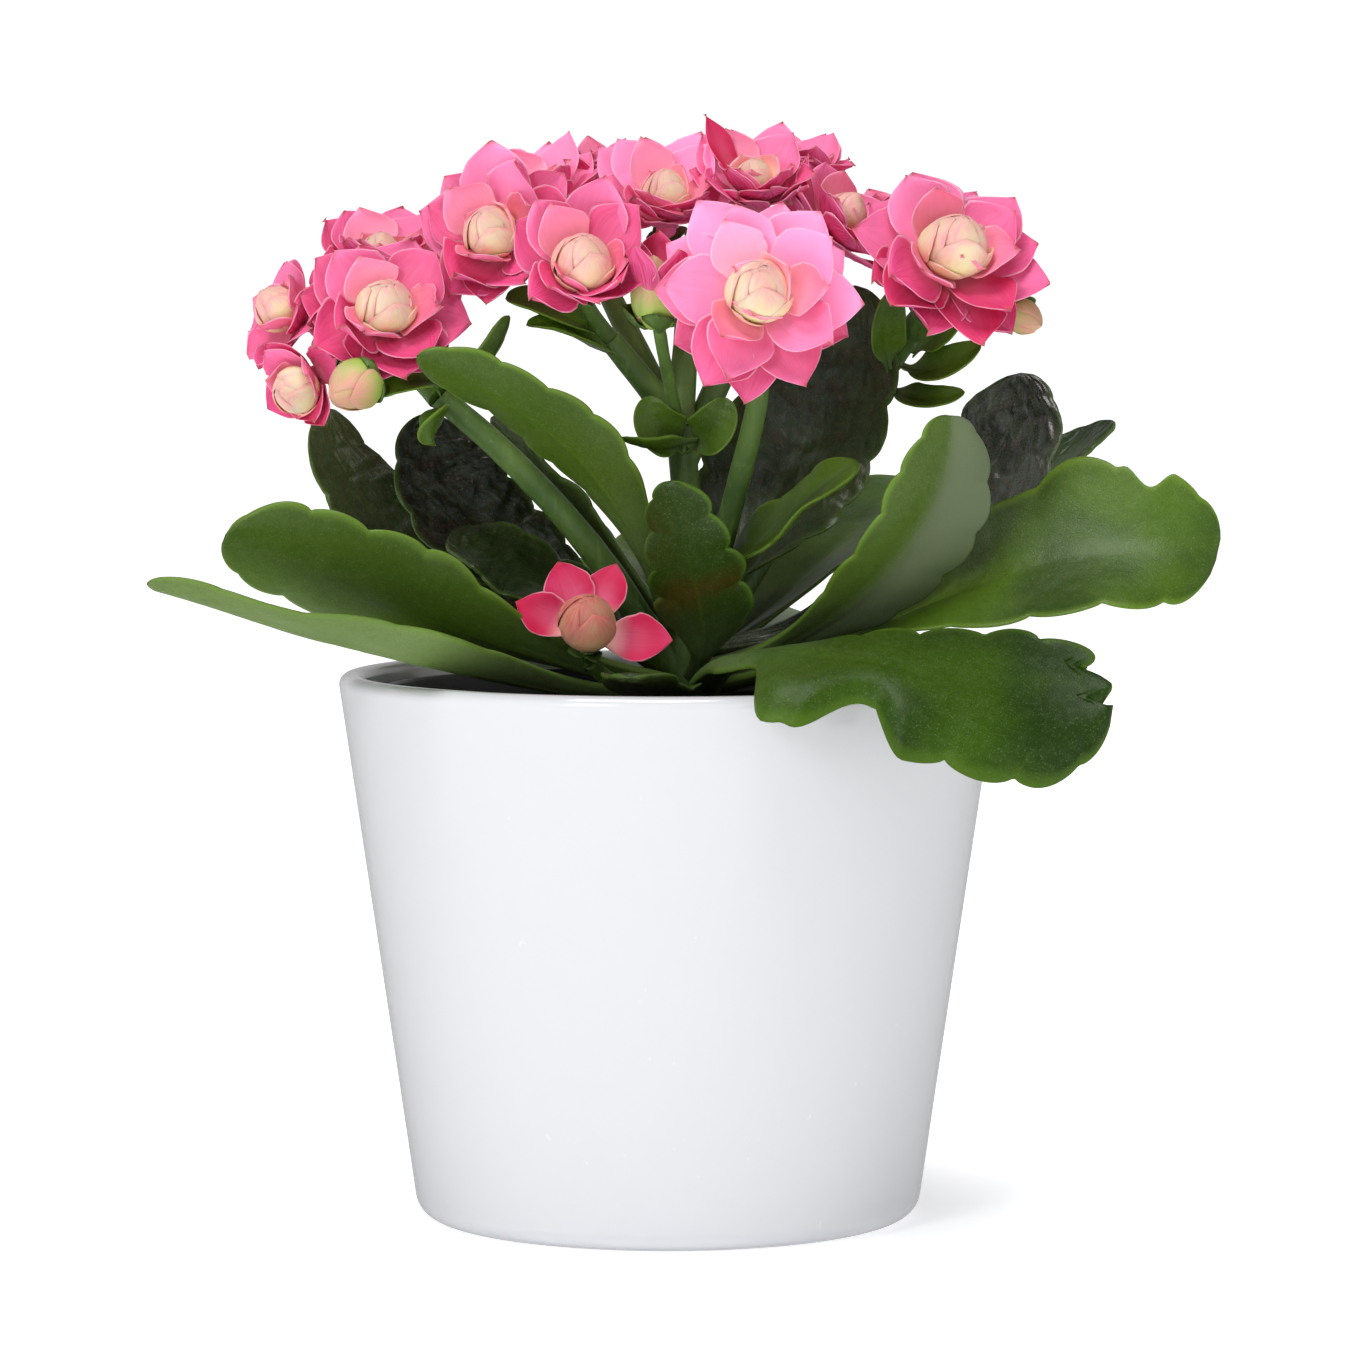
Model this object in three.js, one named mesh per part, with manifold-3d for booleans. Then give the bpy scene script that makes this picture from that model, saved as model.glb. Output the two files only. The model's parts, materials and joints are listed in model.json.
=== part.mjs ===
// A double-flowered kalanchoe in a glazed cachepot, in millimetres, +Z up.
// The origin is the middle of the pot's flat underside. -Y is the front of the plant.
import * as THREE from 'three';
import { mergeVertices } from 'three/addons/utils/BufferGeometryUtils.js';
import Module from 'manifold-3d';

const wasm = await Module();
wasm.setup();

// Clearance between pieces that touch, the distance under which vertices are one, and the size
// of the slivers that are taken off a finished solid
const seatGap = 0.3;
const weldDistance = 1e-4;
const sliverSize = 0.012;

// Glazed cachepot
const potHeight = 66.5;
const potRimRadius = 40;
const potBaseRadius = 30.4;
const potWall = 3;
const potFloor = 4;
const potLipRound = 1.3;
const potFootRound = 3.2;
const potWallLean = 8;
const potSides = 36;

// Growing pot and its soil
const growingRimRadius = 35.6;
const growingRimHeight = 64.6;
const growingRimWidth = 1.9;
const growingRimDepth = 4;
const growingTaper = 9.4;
const growingWall = 0.9;
const growingLip = 1;
const growingSides = 24;
const soilHeight = 59.6;
const soilSwell = 1.6;
const soilDome = 0.5;
const soilDip = 1.5;

// Leaf blades; the shares are of the length, and cup, fold and wave are of the half width or in mm
const leafThickness = 1.2;
const leafEdgeShare = 0.72;
const leafCup = 0.12;
const leafFold = 0.1;
const leafWave = 0.5;
const petioleShare = 0.24;
const petioleWidth = 0.2;
const scallopsFrom = 0.3;
const scallopsTo = 0.97;
const notchWidth = 0.9;
const lobeWidth = 1.03;
const wideLeaf = 9.3;
const leafGutter = 0.22;
const gutterFrom = 0.3;
const gutterTo = 0.65;
const leafBlunt = 2.3;

// Petals
const petalThickness = 1;
const petalHalf = 0.39;
const petalCrease = 0.16;
const petalLap = 0.17;
const petalFoot = 0.6;
const petalTipLift = 0.3;

const colours = {
  glaze: [0xe6e7ec, 0.16],
  plastic: [0x17181a, 0.35],
  soil: [0x2a1f18, 0.95],
  stem: [0x4f7a2f, 0.5],
  leaf: [0x3c6a26, 0.42],
  petal: [0xf0609c, 0.55],
  heart: [0xf3dfb8, 0.55],
};

// Each leaf: its midrib from the trunk to the tip, the way its upper face looks at the base and
// at the tip, its greatest half width, where that lies, and its scallops on a side. Some also have
// a cup, a fold, a gutter towards the base, a hanging margin, a blunt tip, and lobes or bites.
const leaves = {
  leaf_rim_left: {
    midrib: [[-1, -5, 63.8], [-24, -22.5, 68.4], [-44, -32, 74.2], [-60.2, -36, 79.6]],
    up: [[0, 0.15, 1], [-0.1, 0.2, 0.97]], half: 7, widest: 0.5, scallops: 4,
  },
  leaf_broad_left: {
    midrib: [[-1, -4, 65.4], [-20, -15, 71.4], [-37, -21, 78.2], [-52, -25, 84.5]],
    up: [[0, 0.4, 0.9], [-0.15, 0.75, 0.65]], half: 9.2, widest: 0.6, scallops: 5, gutter: 0,
  },
  leaf_folded_back_left: {
    midrib: [[-1, 4, 65], [-20, 8, 72], [-35.5, 13, 84], [-42.5, 20, 98]],
    up: [[0, -0.2, 1], [0.25, -0.8, 0.5]], half: 5.6, widest: 0.55, scallops: 4,
  },
  leaf_dark_left: {
    midrib: [[0, 2, 68.5], [-13.5, 5, 75.4], [-25.2, 8, 86], [-28.6, 10, 97.6]],
    up: [[0, -0.4, 0.9], [0.15, -0.95, 0.3]], half: 7.4, widest: 0.55, scallops: 5,
  },
  leaf_inner_left: {
    midrib: [[0, -1, 66.5], [-9, -2.5, 72.5], [-18, -3, 78.5], [-26.8, -3, 82.8]],
    up: [[0, -0.3, 0.95], [0.2, -0.6, 0.77]], half: 6.6, widest: 0.55, scallops: 4,
  },
  leaf_long_left: {
    midrib: [[0, -3, 72], [-6.6, -13, 88.8], [-16.5, -17.5, 98.6], [-29.6, -20, 105.5]],
    up: [[0.3, 0.6, 0.7], [0.35, 0.8, 0.5]], half: 5.4, widest: 0.45, scallops: 5, gutter: 0,
  },
  leaf_front_curled: {
    midrib: [[3, -5, 66.2], [4.2, -13.5, 73.8], [2.4, -19, 82.2], [0.4, -23, 90.8]],
    up: [[0, 0.7, 0.7], [0.25, 0.86, 0.45]], half: 6, widest: 0.38, scallops: 4, gutter: 0,
  },
  leaf_slim_left: {
    midrib: [[1, -1, 72], [-8, 1, 82], [-15, 2, 90], [-21.5, 3, 97.5]],
    up: [[0.4, 0, 0.9], [0.65, 0.3, 0.7]], half: 5, widest: 0.5, scallops: 4,
  },
  leaf_tall_centre: {
    midrib: [[4, 2, 73], [11, 6, 84], [18.6, 8, 97.5], [23, 8, 113.4]],
    up: [[-0.2, -0.7, 0.6], [-0.2, -0.95, 0.2]], half: 10.2, widest: 0.45, scallops: 5,
  },
  leaf_folded_centre: {
    midrib: [[4, -3, 72.5], [8.5, -6.5, 79], [15, -9.5, 86], [23, -11, 92.3]],
    up: [[-0.1, -0.3, 0.9], [-0.3, -0.35, 0.9]], half: 5.6, widest: 0.5, scallops: 4,
  },
  leaf_upright_right: {
    midrib: [[5, -3, 67.5], [20.5, -12.5, 75.2], [30.4, -17, 86.6], [33.4, -16, 98.2]],
    up: [[-0.2, 0.5, 0.8], [-0.35, 0.85, 0.3]], half: 7.4, widest: 0.55, scallops: 5, fold: -0.35, gutter: 0,
  },
  leaf_dark_right: {
    midrib: [[5, 2, 69], [24, 6, 74.2], [38.5, 10, 86.4], [43.4, 12, 102.6]],
    up: [[-0.1, -0.4, 0.9], [-0.5, -0.75, 0.4]], half: 9, widest: 0.66, scallops: 5,
  },
  leaf_small_back_right: {
    midrib: [[5, 5, 66], [24, 13, 74], [41, 21, 84.5], [56, 28, 96.2]],
    up: [[-0.1, -0.2, 0.95], [-0.5, -0.3, 0.8]], half: 5.5, widest: 0.6, scallops: 4,
  },
  leaf_broad_right: {
    midrib: [[5, -1, 65], [24, -9, 71.8], [45.5, -14, 80.5], [65.4, -15, 81]],
    up: [[0, -0.25, 0.95], [-0.1, -0.85, 0.5]], half: 10.4, widest: 0.7, scallops: 5, blunt: 3.2,
    lobes: [[-1, 0.74, 0.22, 0.12]],
  },
  leaf_rim_right: {
    midrib: [[4, -5, 64.4], [14.5, -34, 71], [33.5, -38.3, 68.2], [51.5, -38.5, 65.6]],
    up: [[0, -0.15, 0.97], [0.15, -0.8, 0.58]], half: 11, widest: 0.45, scallops: 5,
    cup: -0.05, fold: 0, gutter: 0, hang: 0.25, blunt: 4.5,
    lobes: [[1, 0.28, -0.6, 0.09], [1, 0.36, 0.2, 0.1], [1, 0.5, -0.5, 0.09], [1, 0.8, 0.1, 0.2],
      [-1, 0.42, -0.4, 0.36]],
  },
  leaf_small_front: {
    midrib: [[1, -3, 61.9], [-0.6, -13, 63.6], [-2.4, -23, 65.6], [-4.4, -33, 68.4]],
    up: [[0, -0.1, 1], [0, -0.3, 0.95]], half: 5.6, widest: 0.55, scallops: 4,
  },
  leaf_back_centre: {
    midrib: [[2, 4, 66], [2, 18, 72.5], [2, 31, 78.5], [1, 44, 81]],
    up: [[0, -0.2, 0.95], [0, -0.4, 0.9]], half: 9, widest: 0.6, scallops: 5,
  },
  leaf_back_right: {
    midrib: [[5, 4, 67.5], [15, 16, 75], [25, 29, 83], [33, 41, 88]],
    up: [[0, -0.2, 0.95], [-0.3, -0.4, 0.85]], half: 8.6, widest: 0.6, scallops: 5,
  },
  leaf_back_left: {
    midrib: [[-1, 4, 68], [-9, 16, 72.5], [-17, 28, 75.5], [-25, 39, 77]],
    up: [[0, -0.2, 0.95], [0.2, -0.4, 0.9]], half: 8, widest: 0.58, scallops: 5,
  },
  leaf_rim_back: {
    midrib: [[3, 3, 63.6], [9, 19, 68], [15.5, 35, 70.2], [21, 50, 69]],
    up: [[0, 0, 1], [0, -0.05, 1]], half: 8, widest: 0.6, scallops: 5,
  },
};

// Each bloom: the middle of its heart, the way it faces, the reach of its outer petals from the
// axis, the half width and height of its heart, and its petals in three layers from outside in.
// lean closes the petals towards the axis, in degrees; fan is the share of the turn they fill.
const blooms = {
  left_front: {
    at: [-33.6, -12, 111.6], axis: [0.1, -0.9, 0.42], reach: 10.6,
    heart: [3.5, 7], petals: [5, 4, 3], lean: -9,
  },
  left_side: {
    at: [-47.4, -5, 111.2], axis: [-0.75, -0.5, 0.42], reach: 8.4,
    heart: [2.9, 6], petals: [5, 3, 0], lean: -10,
  },
  left_top: {
    at: [-34.8, 1, 118], axis: [0, -0.45, 0.89], reach: 9.6,
    heart: [2.7, 5], petals: [5, 4, 0], lean: -26,
  },
  left_low: {
    at: [-45, -10, 101], axis: [-0.5, -0.75, -0.35], reach: 7,
    heart: [2.9, 6], petals: [4, 2, 0], lean: -24,
  },
  middle_left: {
    at: [-21.3, -9, 120.4], axis: [-0.35, -0.85, 0.35], reach: 10.4,
    heart: [3.4, 7], petals: [5, 4, 2], lean: -14,
  },
  middle_front: {
    at: [-10, -18, 117], axis: [0, -0.88, 0.45], reach: 9.2,
    heart: [3.6, 7.6], petals: [5, 4, 0], lean: -24,
  },
  middle_top: {
    at: [-15.8, 2, 125.2], axis: [-0.25, -0.35, 0.9], reach: 9.2,
    heart: [2.3, 4.4], petals: [5, 4, 0], lean: -30,
  },
  middle_back: {
    at: [-7.4, 9.5, 127.2], axis: [0.1, -0.1, 0.98], reach: 8,
    heart: [2.2, 4], petals: [5, 3, 0], lean: -34,
  },
  centre_left: {
    at: [-0.2, -5, 125.4], axis: [0, -0.62, 0.78], reach: 9,
    heart: [2.8, 5.6], petals: [5, 4, 0], lean: -20,
  },
  centre_front: {
    at: [10.8, -26, 113.6], axis: [0, -0.96, 0.27], reach: 12.4,
    heart: [3.9, 8], petals: [6, 5, 3],
  },
  centre_top: {
    at: [10.4, -4, 127], axis: [0, -0.55, 0.83], reach: 8.4,
    heart: [2.4, 4.6], petals: [5, 4, 0], lean: -26,
  },
  centre_back: {
    at: [15.6, 6, 127.6], axis: [0.15, -0.15, 0.97], reach: 8.6,
    heart: [2.2, 4], petals: [5, 3, 0], lean: -34,
  },
  centre_right: {
    at: [21.8, -4, 122.6], axis: [0.6, -0.35, 0.72], reach: 8.6,
    heart: [2.7, 5.6], petals: [5, 4, 0], lean: -18,
  },
  right_front: {
    at: [34.5, -12, 119], axis: [0.25, -0.75, 0.6], reach: 12.4,
    heart: [4.3, 8], petals: [6, 4, 3], lean: -8,
  },
  right_back: {
    at: [27.4, 6, 122.8], axis: [-0.2, 0, 0.98], reach: 7.4,
    heart: [2.2, 4], petals: [5, 3, 0], lean: -32,
  },
  low_front: {
    at: [-9.5, -23, 74.6], axis: [0, -0.9, 0.42], reach: 9.6,
    heart: [3.6, 8], petals: [3, 0, 0], roll: -0.1, fan: 0.733, slim: 0.76,
  },
  back_left: {
    at: [-37, 16, 112], axis: [-0.3, 0.8, 0.5], reach: 7.6,
    heart: [2.8, 5.8], petals: [5, 3, 0], lean: -16,
  },
  back_right: {
    at: [4.4, 14, 126], axis: [0.05, 0.45, 0.89], reach: 8.2,
    heart: [2.6, 5.2], petals: [5, 3, 0], lean: -30,
  },
};

// How the three layers of petals open: angle from the axis at the root and at the tip, share of
// the reach, share of the width, and height of the root below the heart
const petalLayers = [
  { root: 88, tip: 82, reach: 1, width: 1, drop: 1.9, leaning: 1 },
  { root: 78, tip: 60, reach: 0.88, width: 0.92, drop: 1.2, leaning: 0.8 },
  { root: 72, tip: 2, reach: 0.76, width: 0.8, drop: 0.45, leaning: 0 },
];

// Corolla tube and calyx, along the bloom's axis below its heart
const tubeLength = 4.2;
const tubeRadius = 1.25;
const calyxLength = 2.4;
const calyxRadius = 1.52;
const sepalReach = 2.75;
const stalkBend = 2.6;
const pedicelRadius = 0.75;
const forkRadius = 1.6;
const cupShare = 0.23;
const bractThickness = 0.8;
const stemSides = 6;
const forkSides = 6;
const stalkSides = 8;

// Flower stems from the root to the fork, with their radii
const stems = {
  trunk: {
    path: [[2, 0, 44], [2, 0, 60], [2.4, 0, 75]],
    radius: 3.1, steps: 2,
  },
  middle: {
    path: [[2.4, 0, 72], [2.6, 0.6, 82], [1.5, 0, 96.5]],
    radius: 2.1, steps: 3,
  },
  left: {
    path: [[1, -1, 66], [-8.2, -5, 80.5], [-17.7, -7, 91.5], [-27.3, -8, 100.3]],
    radius: 1.6, steps: 4,
  },
  centre: {
    path: [[3.5, -1.5, 71], [8, -6, 88], [10.6, -10, 99], [10.9, -13, 106.6]],
    radius: 1.35, steps: 4,
  },
  right: {
    path: [[3, 1.5, 67], [13, 13, 82], [23, 13.5, 97], [30, 5, 108]],
    radius: 1.5, steps: 5,
  },
  low: {
    path: [[2, -2, 62.5], [-3, -6, 64.2], [-7.5, -9.6, 66.6], [-9.2, -12, 68.4]],
    radius: 1, steps: 3,
  },
};

// Forks: where each stalk leaves its stem and the blooms that it carries
const forks = [
  { from: [-27.3, -8, 100.3], via: [-31, -5, 104], to: ['left_front', 'left_low', 'left_side'] },
  { from: [-27.3, -8, 100.3], via: [-33, 5, 108], to: ['left_top', 'back_left'] },
  { from: [1.5, 0, 96.5], via: [-7, -3, 107], to: ['middle_front', 'middle_left'] },
  { from: [1.7, 0.1, 94.5], via: [-7, 5, 112], to: ['middle_top', 'middle_back'] },
  { from: [1.5, 0, 96.5], via: [2.5, 3, 112], to: ['centre_left', 'back_right'] },
  { from: [1.9, 0.3, 92], via: [11.5, 5, 114], to: ['centre_top', 'centre_back', 'centre_right'] },
  { via: [10.8, -12.5, 106], to: ['centre_front'] },
  { from: [30, 5, 108], via: [31, 2, 110], to: ['right_front', 'right_back'] },
  { via: [-9, -11.6, 68], to: ['low_front'] },
];

// Closed buds: middle, direction, length and radius, and where the stalk comes from
const buds = [
  {
    at: [-37.5, -15, 101.5], axis: [-0.2, -0.9, -0.3],
    length: 6.4, radius: 3.2, from: [-31, -5, 104],
  },
  {
    at: [-0.2, -14, 113.6], axis: [0.05, -0.35, 0.93],
    length: 9, radius: 2.9, from: [1.6, -0.4, 95],
  },
  {
    at: [43.2, -5, 109.6], axis: [0.6, -0.6, -0.3],
    length: 5, radius: 2, from: [31, 2, 110],
  },
];

// Bracts: small blades on the flower stems
const bracts = [
  {
    midrib: [[-27, -8, 99], [-27.2, -11, 98], [-28, -13, 96.4], [-28.5, -14, 94.6]],
    up: [0, 0.6, 0.8], half: 2.1,
  },
  {
    midrib: [[1.5, -1, 95], [0, -4, 94.4], [-2, -6, 94.6], [-4.4, -8, 95]],
    up: [0, 0, 1], half: 1.8,
  },
  {
    midrib: [[2, -1, 90], [4, -5, 92.5], [5, -8, 95.5], [5.5, -9, 99]],
    up: [0, 0.8, 0.5], half: 2.8,
  },
  {
    midrib: [[30, 5, 107], [29, 1, 103.5], [30, -2, 101.5], [33.5, -4, 101]],
    up: [0, -0.5, 0.8], half: 2.6,
  },
  {
    midrib: [[30, 5, 107.5], [27, 1, 106], [24, -2, 103.5], [23, -4, 100]],
    up: [-0.4, -0.5, 0.7], half: 2.4,
  },
  {
    midrib: [[-27, -8, 100], [-23, -9, 103], [-20.5, -9, 106.5], [-19, -9, 110]],
    up: [-0.5, 0.5, 0.7], half: 1.8,
  },
];

// Seeded draw for the small differences between petals
function makeDraw(seed) {
  let state = seed;
  return (low, high) => {
    state = (state * 1664525 + 1013904223) % 4294967296;
    return low + ((high - low) * state) / 4294967296;
  };
}

const vector = (point) => new THREE.Vector3(...point);
const radians = (degrees) => THREE.MathUtils.degToRad(degrees);

function weldedGeometry(geometry) {
  geometry.deleteAttribute('normal');
  geometry.deleteAttribute('uv');
  return mergeVertices(geometry, weldDistance);
}

function toSolid(geometry) {
  const welded = weldedGeometry(geometry);
  const corners = Array.from(welded.index.array);
  const faces = [];
  for (let k = 0; k < corners.length; k += 3) {
    const [a, b, c] = corners.slice(k, k + 3);
    if (a !== b && b !== c && c !== a) {
      faces.push(a, b, c);
    }
  }
  return new wasm.Manifold(new wasm.Mesh({
    numProp: 3,
    vertProperties: new Float32Array(welded.attributes.position.array),
    triVerts: new Uint32Array(faces),
  }));
}

function toGeometry(solid) {
  const mesh = solid.getMesh();
  const geometry = new THREE.BufferGeometry();
  geometry.setAttribute('position', new THREE.BufferAttribute(new Float32Array(mesh.vertProperties), 3));
  geometry.setIndex(new THREE.BufferAttribute(new Uint32Array(mesh.triVerts), 1));
  geometry.computeVertexNormals();
  return geometry;
}

const fuse = (solids) => solids.reduce((whole, solid) => whole.add(solid));

// Cuts the grown neighbours out of a solid and drops the loose scraps
function clearOf(solid, neighbours) {
  const rest = neighbours.reduce((kept, neighbour) => kept.subtract(neighbour), solid);
  const pieces = rest.simplify(sliverSize).decompose();
  return pieces.reduce((best, piece) => (piece.volume() > best.volume() ? piece : best));
}

// Closed blade over a grid of points: rows run from root to tip and the last row is one point.
// It is twice halfMiddle thick inside and twice halfEdge at its margin.
function bladeSolid(rows, ups, halfMiddle, halfEdge) {
  const positions = [];
  const index = [];
  const starts = [];
  const count = rows.flat().length;
  [1, -1].forEach((face) => rows.forEach((row, i) => {
    if (face === 1) {
      starts.push(positions.length / 3);
    }
    row.forEach((point, j) => {
      const inside = j > 0 && j < row.length - 1;
      const offset = face * (inside ? halfMiddle : halfEdge);
      positions.push(...point.clone().addScaledVector(ups[i], offset).toArray());
    });
  }));
  const face = (a, b, c) => {
    index.push(a, b, c);
    index.push(a + count, c + count, b + count);
  };
  const wall = (a, b) => {
    index.push(b, a, a + count);
    index.push(b, a + count, b + count);
  };
  const columns = rows[0].length;
  const middle = (columns - 1) / 2;
  for (let i = 0; i < rows.length - 2; i += 1) {
    for (let j = 0; j < columns - 1; j += 1) {
      const a = starts[i] + j;
      const d = starts[i + 1] + j;
      if (j < middle) {
        face(a, a + 1, d + 1);
        face(a, d + 1, d);
      } else {
        face(a, a + 1, d);
        face(a + 1, d + 1, d);
      }
    }
    wall(starts[i + 1], starts[i]);
    wall(starts[i] + columns - 1, starts[i + 1] + columns - 1);
  }
  const last = starts[rows.length - 2];
  const tip = starts[rows.length - 1];
  for (let j = 0; j < columns - 1; j += 1) {
    face(last + j, last + j + 1, tip);
    wall(starts[0] + j, starts[0] + j + 1);
  }
  wall(tip, last);
  wall(last + columns - 1, tip);
  const geometry = new THREE.BufferGeometry();
  geometry.setAttribute('position', new THREE.BufferAttribute(new Float32Array(positions), 3));
  geometry.setIndex(index);
  return toSolid(geometry);
}

// Curve through four points at equal steps of its parameter
function curveThrough(points) {
  const [p0, p1, p2, p3] = points.map(vector);
  const blend = (a, b, c, d) => new THREE.Vector3()
    .addScaledVector(p0, a).addScaledVector(p1, b).addScaledVector(p2, c).addScaledVector(p3, d);
  const near = blend(-5 / 6, 3, -1.5, 1 / 3);
  const far = blend(1 / 3, -1.5, 3, -5 / 6);
  return new THREE.CubicBezierCurve3(p0, near, far, p3);
}

// Half width of a leaf along its length, as a share of the greatest one
function leafOutline(t, { widest, blunt = leafBlunt }) {
  if (t < widest) {
    return petioleWidth + (1 - petioleWidth) * THREE.MathUtils.smoothstep(t, petioleShare * 0.4, widest);
  }
  const along = (t - widest) / (1 - widest);
  return Math.sqrt(Math.max(0, 1 - along ** blunt));
}

// Share by which a leaf's lobes and bites widen or narrow one of its halves, each given as the
// half that it is on, where it is along the leaf, how deep it is and how far it reaches
function lobeShare(t, s, lobes) {
  return lobes.reduce((share, [half, at, depth, reach]) => {
    const away = (t - at) / reach;
    return half * s > 0 && Math.abs(away) < 1 ? share + depth * (1 - away * away) ** 2 : share;
  }, 1);
}

// Scalloped blade: rows lie in the notches and on the lobes between them
function leafSolid(leaf, grow) {
  const curve = curveThrough(leaf.midrib);
  const [upBase, upTip] = leaf.up.map(vector);
  const stations = leaf.half > wideLeaf ? [-1, -0.5, 0, 0.5, 1] : [-1, 0, 1];
  const spots = [[0, 1], [petioleShare * 0.6, 1]];
  const step = (scallopsTo - scallopsFrom) / leaf.scallops;
  for (let k = 0; k < leaf.scallops; k += 1) {
    const start = scallopsFrom + k * step;
    spots.push([start, k === 0 ? 1 : notchWidth]);
    spots.push([start + step * 0.5, lobeWidth]);
  }
  spots.push([1, 0]);
  const { cup = leafCup, fold = leafFold, gutter = leafGutter, hang = 0, lobes = [] } = leaf;
  const rows = [];
  const ups = [];
  spots.forEach(([t, cut]) => {
    const centre = curve.getPoint(t);
    const tangent = curve.getTangent(t);
    const up = upBase.clone().lerp(upTip, t);
    up.addScaledVector(tangent, -up.dot(tangent)).normalize();
    const side = tangent.clone().cross(up);
    ups.push(up);
    if (t === 1) {
      rows.push([centre.addScaledVector(tangent, grow)]);
      return;
    }
    const half = leaf.half * leafOutline(t, leaf) * cut + grow;
    const bend = fold + gutter * (1 - THREE.MathUtils.smoothstep(t, gutterFrom, gutterTo));
    rows.push(stations.map((s) => {
      const reach = half * lobeShare(t, s, lobes);
      const lift = reach * (cup * s * s + bend * Math.abs(s) - hang * Math.max(0, s) ** 4);
      const wave = leafWave * Math.sin(t * 17 + s * 1.3) * s * s * THREE.MathUtils.smoothstep(t, 0.2, 0.5);
      return centre.clone().addScaledVector(side, reach * s).addScaledVector(up, lift + wave);
    }));
  });
  return bladeSolid(rows, ups, leafThickness / 2 + grow, leafThickness * leafEdgeShare / 2 + grow);
}

// Petal in its bloom's frame: it leaves the axis at the root angle and ends at the tip angle,
// and it is tilted about its midrib so that it laps over the next one
function petalSolid({ length, half, root, tip, drop, turn, grow }) {
  const spots = [[0, 0.1], [0.3, 0.58], [0.62, 1], [1, 0]];
  const rows = [];
  const ups = [];
  const spoke = new THREE.Vector3(Math.cos(turn), Math.sin(turn), 0);
  const across = new THREE.Vector3(-Math.sin(turn), Math.cos(turn), 0);
  const centre = spoke.clone().multiplyScalar(petalFoot);
  centre.z = -drop;
  let before = 0;
  spots.forEach(([t, width]) => {
    const angle = THREE.MathUtils.lerp(root, tip, t);
    const middleAngle = THREE.MathUtils.lerp(root, tip, (t + before) / 2);
    centre.addScaledVector(spoke, Math.sin(middleAngle) * length * (t - before));
    centre.z += Math.cos(middleAngle) * length * (t - before);
    before = t;
    const up = spoke.clone().multiplyScalar(-Math.cos(angle));
    up.z = Math.sin(angle);
    ups.push(up);
    if (t === 1) {
      rows.push([centre.clone().addScaledVector(up, petalTipLift)]);
      return;
    }
    const reach = half * width + grow;
    rows.push([-1, 0, 1].map((s) => centre.clone()
      .addScaledVector(across, -reach * s)
      .addScaledVector(up, reach * (petalCrease * Math.abs(s) + petalLap * s))));
  });
  return bladeSolid(rows, ups, petalThickness / 2 + grow, grow);
}

// Body turned about Z from a profile of [radius, height], with the middle of a face at +X
function turnedGeometry(profile, sides) {
  const points = profile.map(([radius, height]) => new THREE.Vector2(radius, height));
  const geometry = new THREE.LatheGeometry(points, sides);
  geometry.rotateX(Math.PI / 2);
  geometry.rotateZ(Math.PI / 2 + Math.PI / sides);
  return weldedGeometry(geometry);
}

const turnedSolid = (profile, sides) => toSolid(turnedGeometry(profile, sides));

// Heart: a closed knob of four inner petals that lap over each other
function heartSolid([radius, height], grow) {
  const sides = radius > 3.3 ? 8 : 6;
  const levels = [0, 0.14, 0.44, 0.74, 1];
  const swell = [0.28, 0.56, 1, 0.74, 0];
  const positions = [0, 0, -grow];
  const index = [];
  levels.slice(0, -1).forEach((level, i) => {
    for (let k = 0; k < sides; k += 1) {
      const angle = ((k + level * 1.6) / sides) * Math.PI * 2;
      const lap = k % 2 === 0 ? 1.06 : 0.94;
      const reach = radius * swell[i] * lap + grow;
      const rise = i === 0 ? -grow : level * height;
      positions.push(reach * Math.cos(angle), reach * Math.sin(angle), rise);
    }
  });
  positions.push(0, 0, height + grow);
  const top = positions.length / 3 - 1;
  for (let k = 0; k < sides; k += 1) {
    const next = (k + 1) % sides;
    index.push(0, 1 + next, 1 + k);
    for (let i = 0; i < levels.length - 2; i += 1) {
      const a = 1 + i * sides;
      const b = a + sides;
      index.push(a + k, a + next, b + next);
      index.push(a + k, b + next, b + k);
    }
    const a = 1 + (levels.length - 2) * sides;
    index.push(a + k, a + next, top);
  }
  const geometry = new THREE.BufferGeometry();
  geometry.setAttribute('position', new THREE.BufferAttribute(new Float32Array(positions), 3));
  geometry.setIndex(index);
  return toSolid(geometry);
}

// Frame of a bloom: its heart stands on the origin and +Z is the way that it faces
function bloomMatrix(bloom) {
  const axis = vector(bloom.axis).normalize();
  const base = vector(bloom.at).addScaledVector(axis, -bloom.heart[1] / 2);
  const turn = new THREE.Quaternion().setFromUnitVectors(new THREE.Vector3(0, 0, 1), axis);
  return new THREE.Matrix4().compose(base, turn, new THREE.Vector3(1, 1, 1));
}

const placed = (solid, matrix) => solid.transform(matrix.toArray());

function coreSolid(bloom, grow) {
  const cup = bloom.reach * cupShare;
  return turnedSolid([
    [0, -tubeLength - grow], [tubeRadius + grow, -tubeLength - grow], [tubeRadius + grow, -3],
    [cup + grow, -2], [cup + grow, -seatGap + grow], [0, -seatGap + grow],
  ], bloom.petals[0]);
}

function bloomSolid(bloom, seed, grow) {
  const draw = makeDraw(seed);
  const { roll = 0, lean = 0, fan = 1, slim = 1 } = bloom;
  const parts = [coreSolid(bloom, grow)];
  bloom.petals.forEach((count, layer) => {
    const open = petalLayers[layer];
    for (let k = 0; k < count; k += 1) {
      const turn = ((k + (layer % 2) * 0.5) / count) * Math.PI * 2 * fan + draw(-0.09, 0.09) + roll;
      const length = bloom.reach * open.reach * draw(0.93, 1.05);
      const half = bloom.reach * petalHalf * open.width * slim;
      const tilt = lean * open.leaning + draw(-4, 4);
      parts.push(petalSolid({
        length, half, turn, drop: open.drop, grow,
        root: radians(open.root + tilt), tip: radians(open.tip + tilt),
      }));
    }
  });
  return fuse(parts);
}

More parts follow.
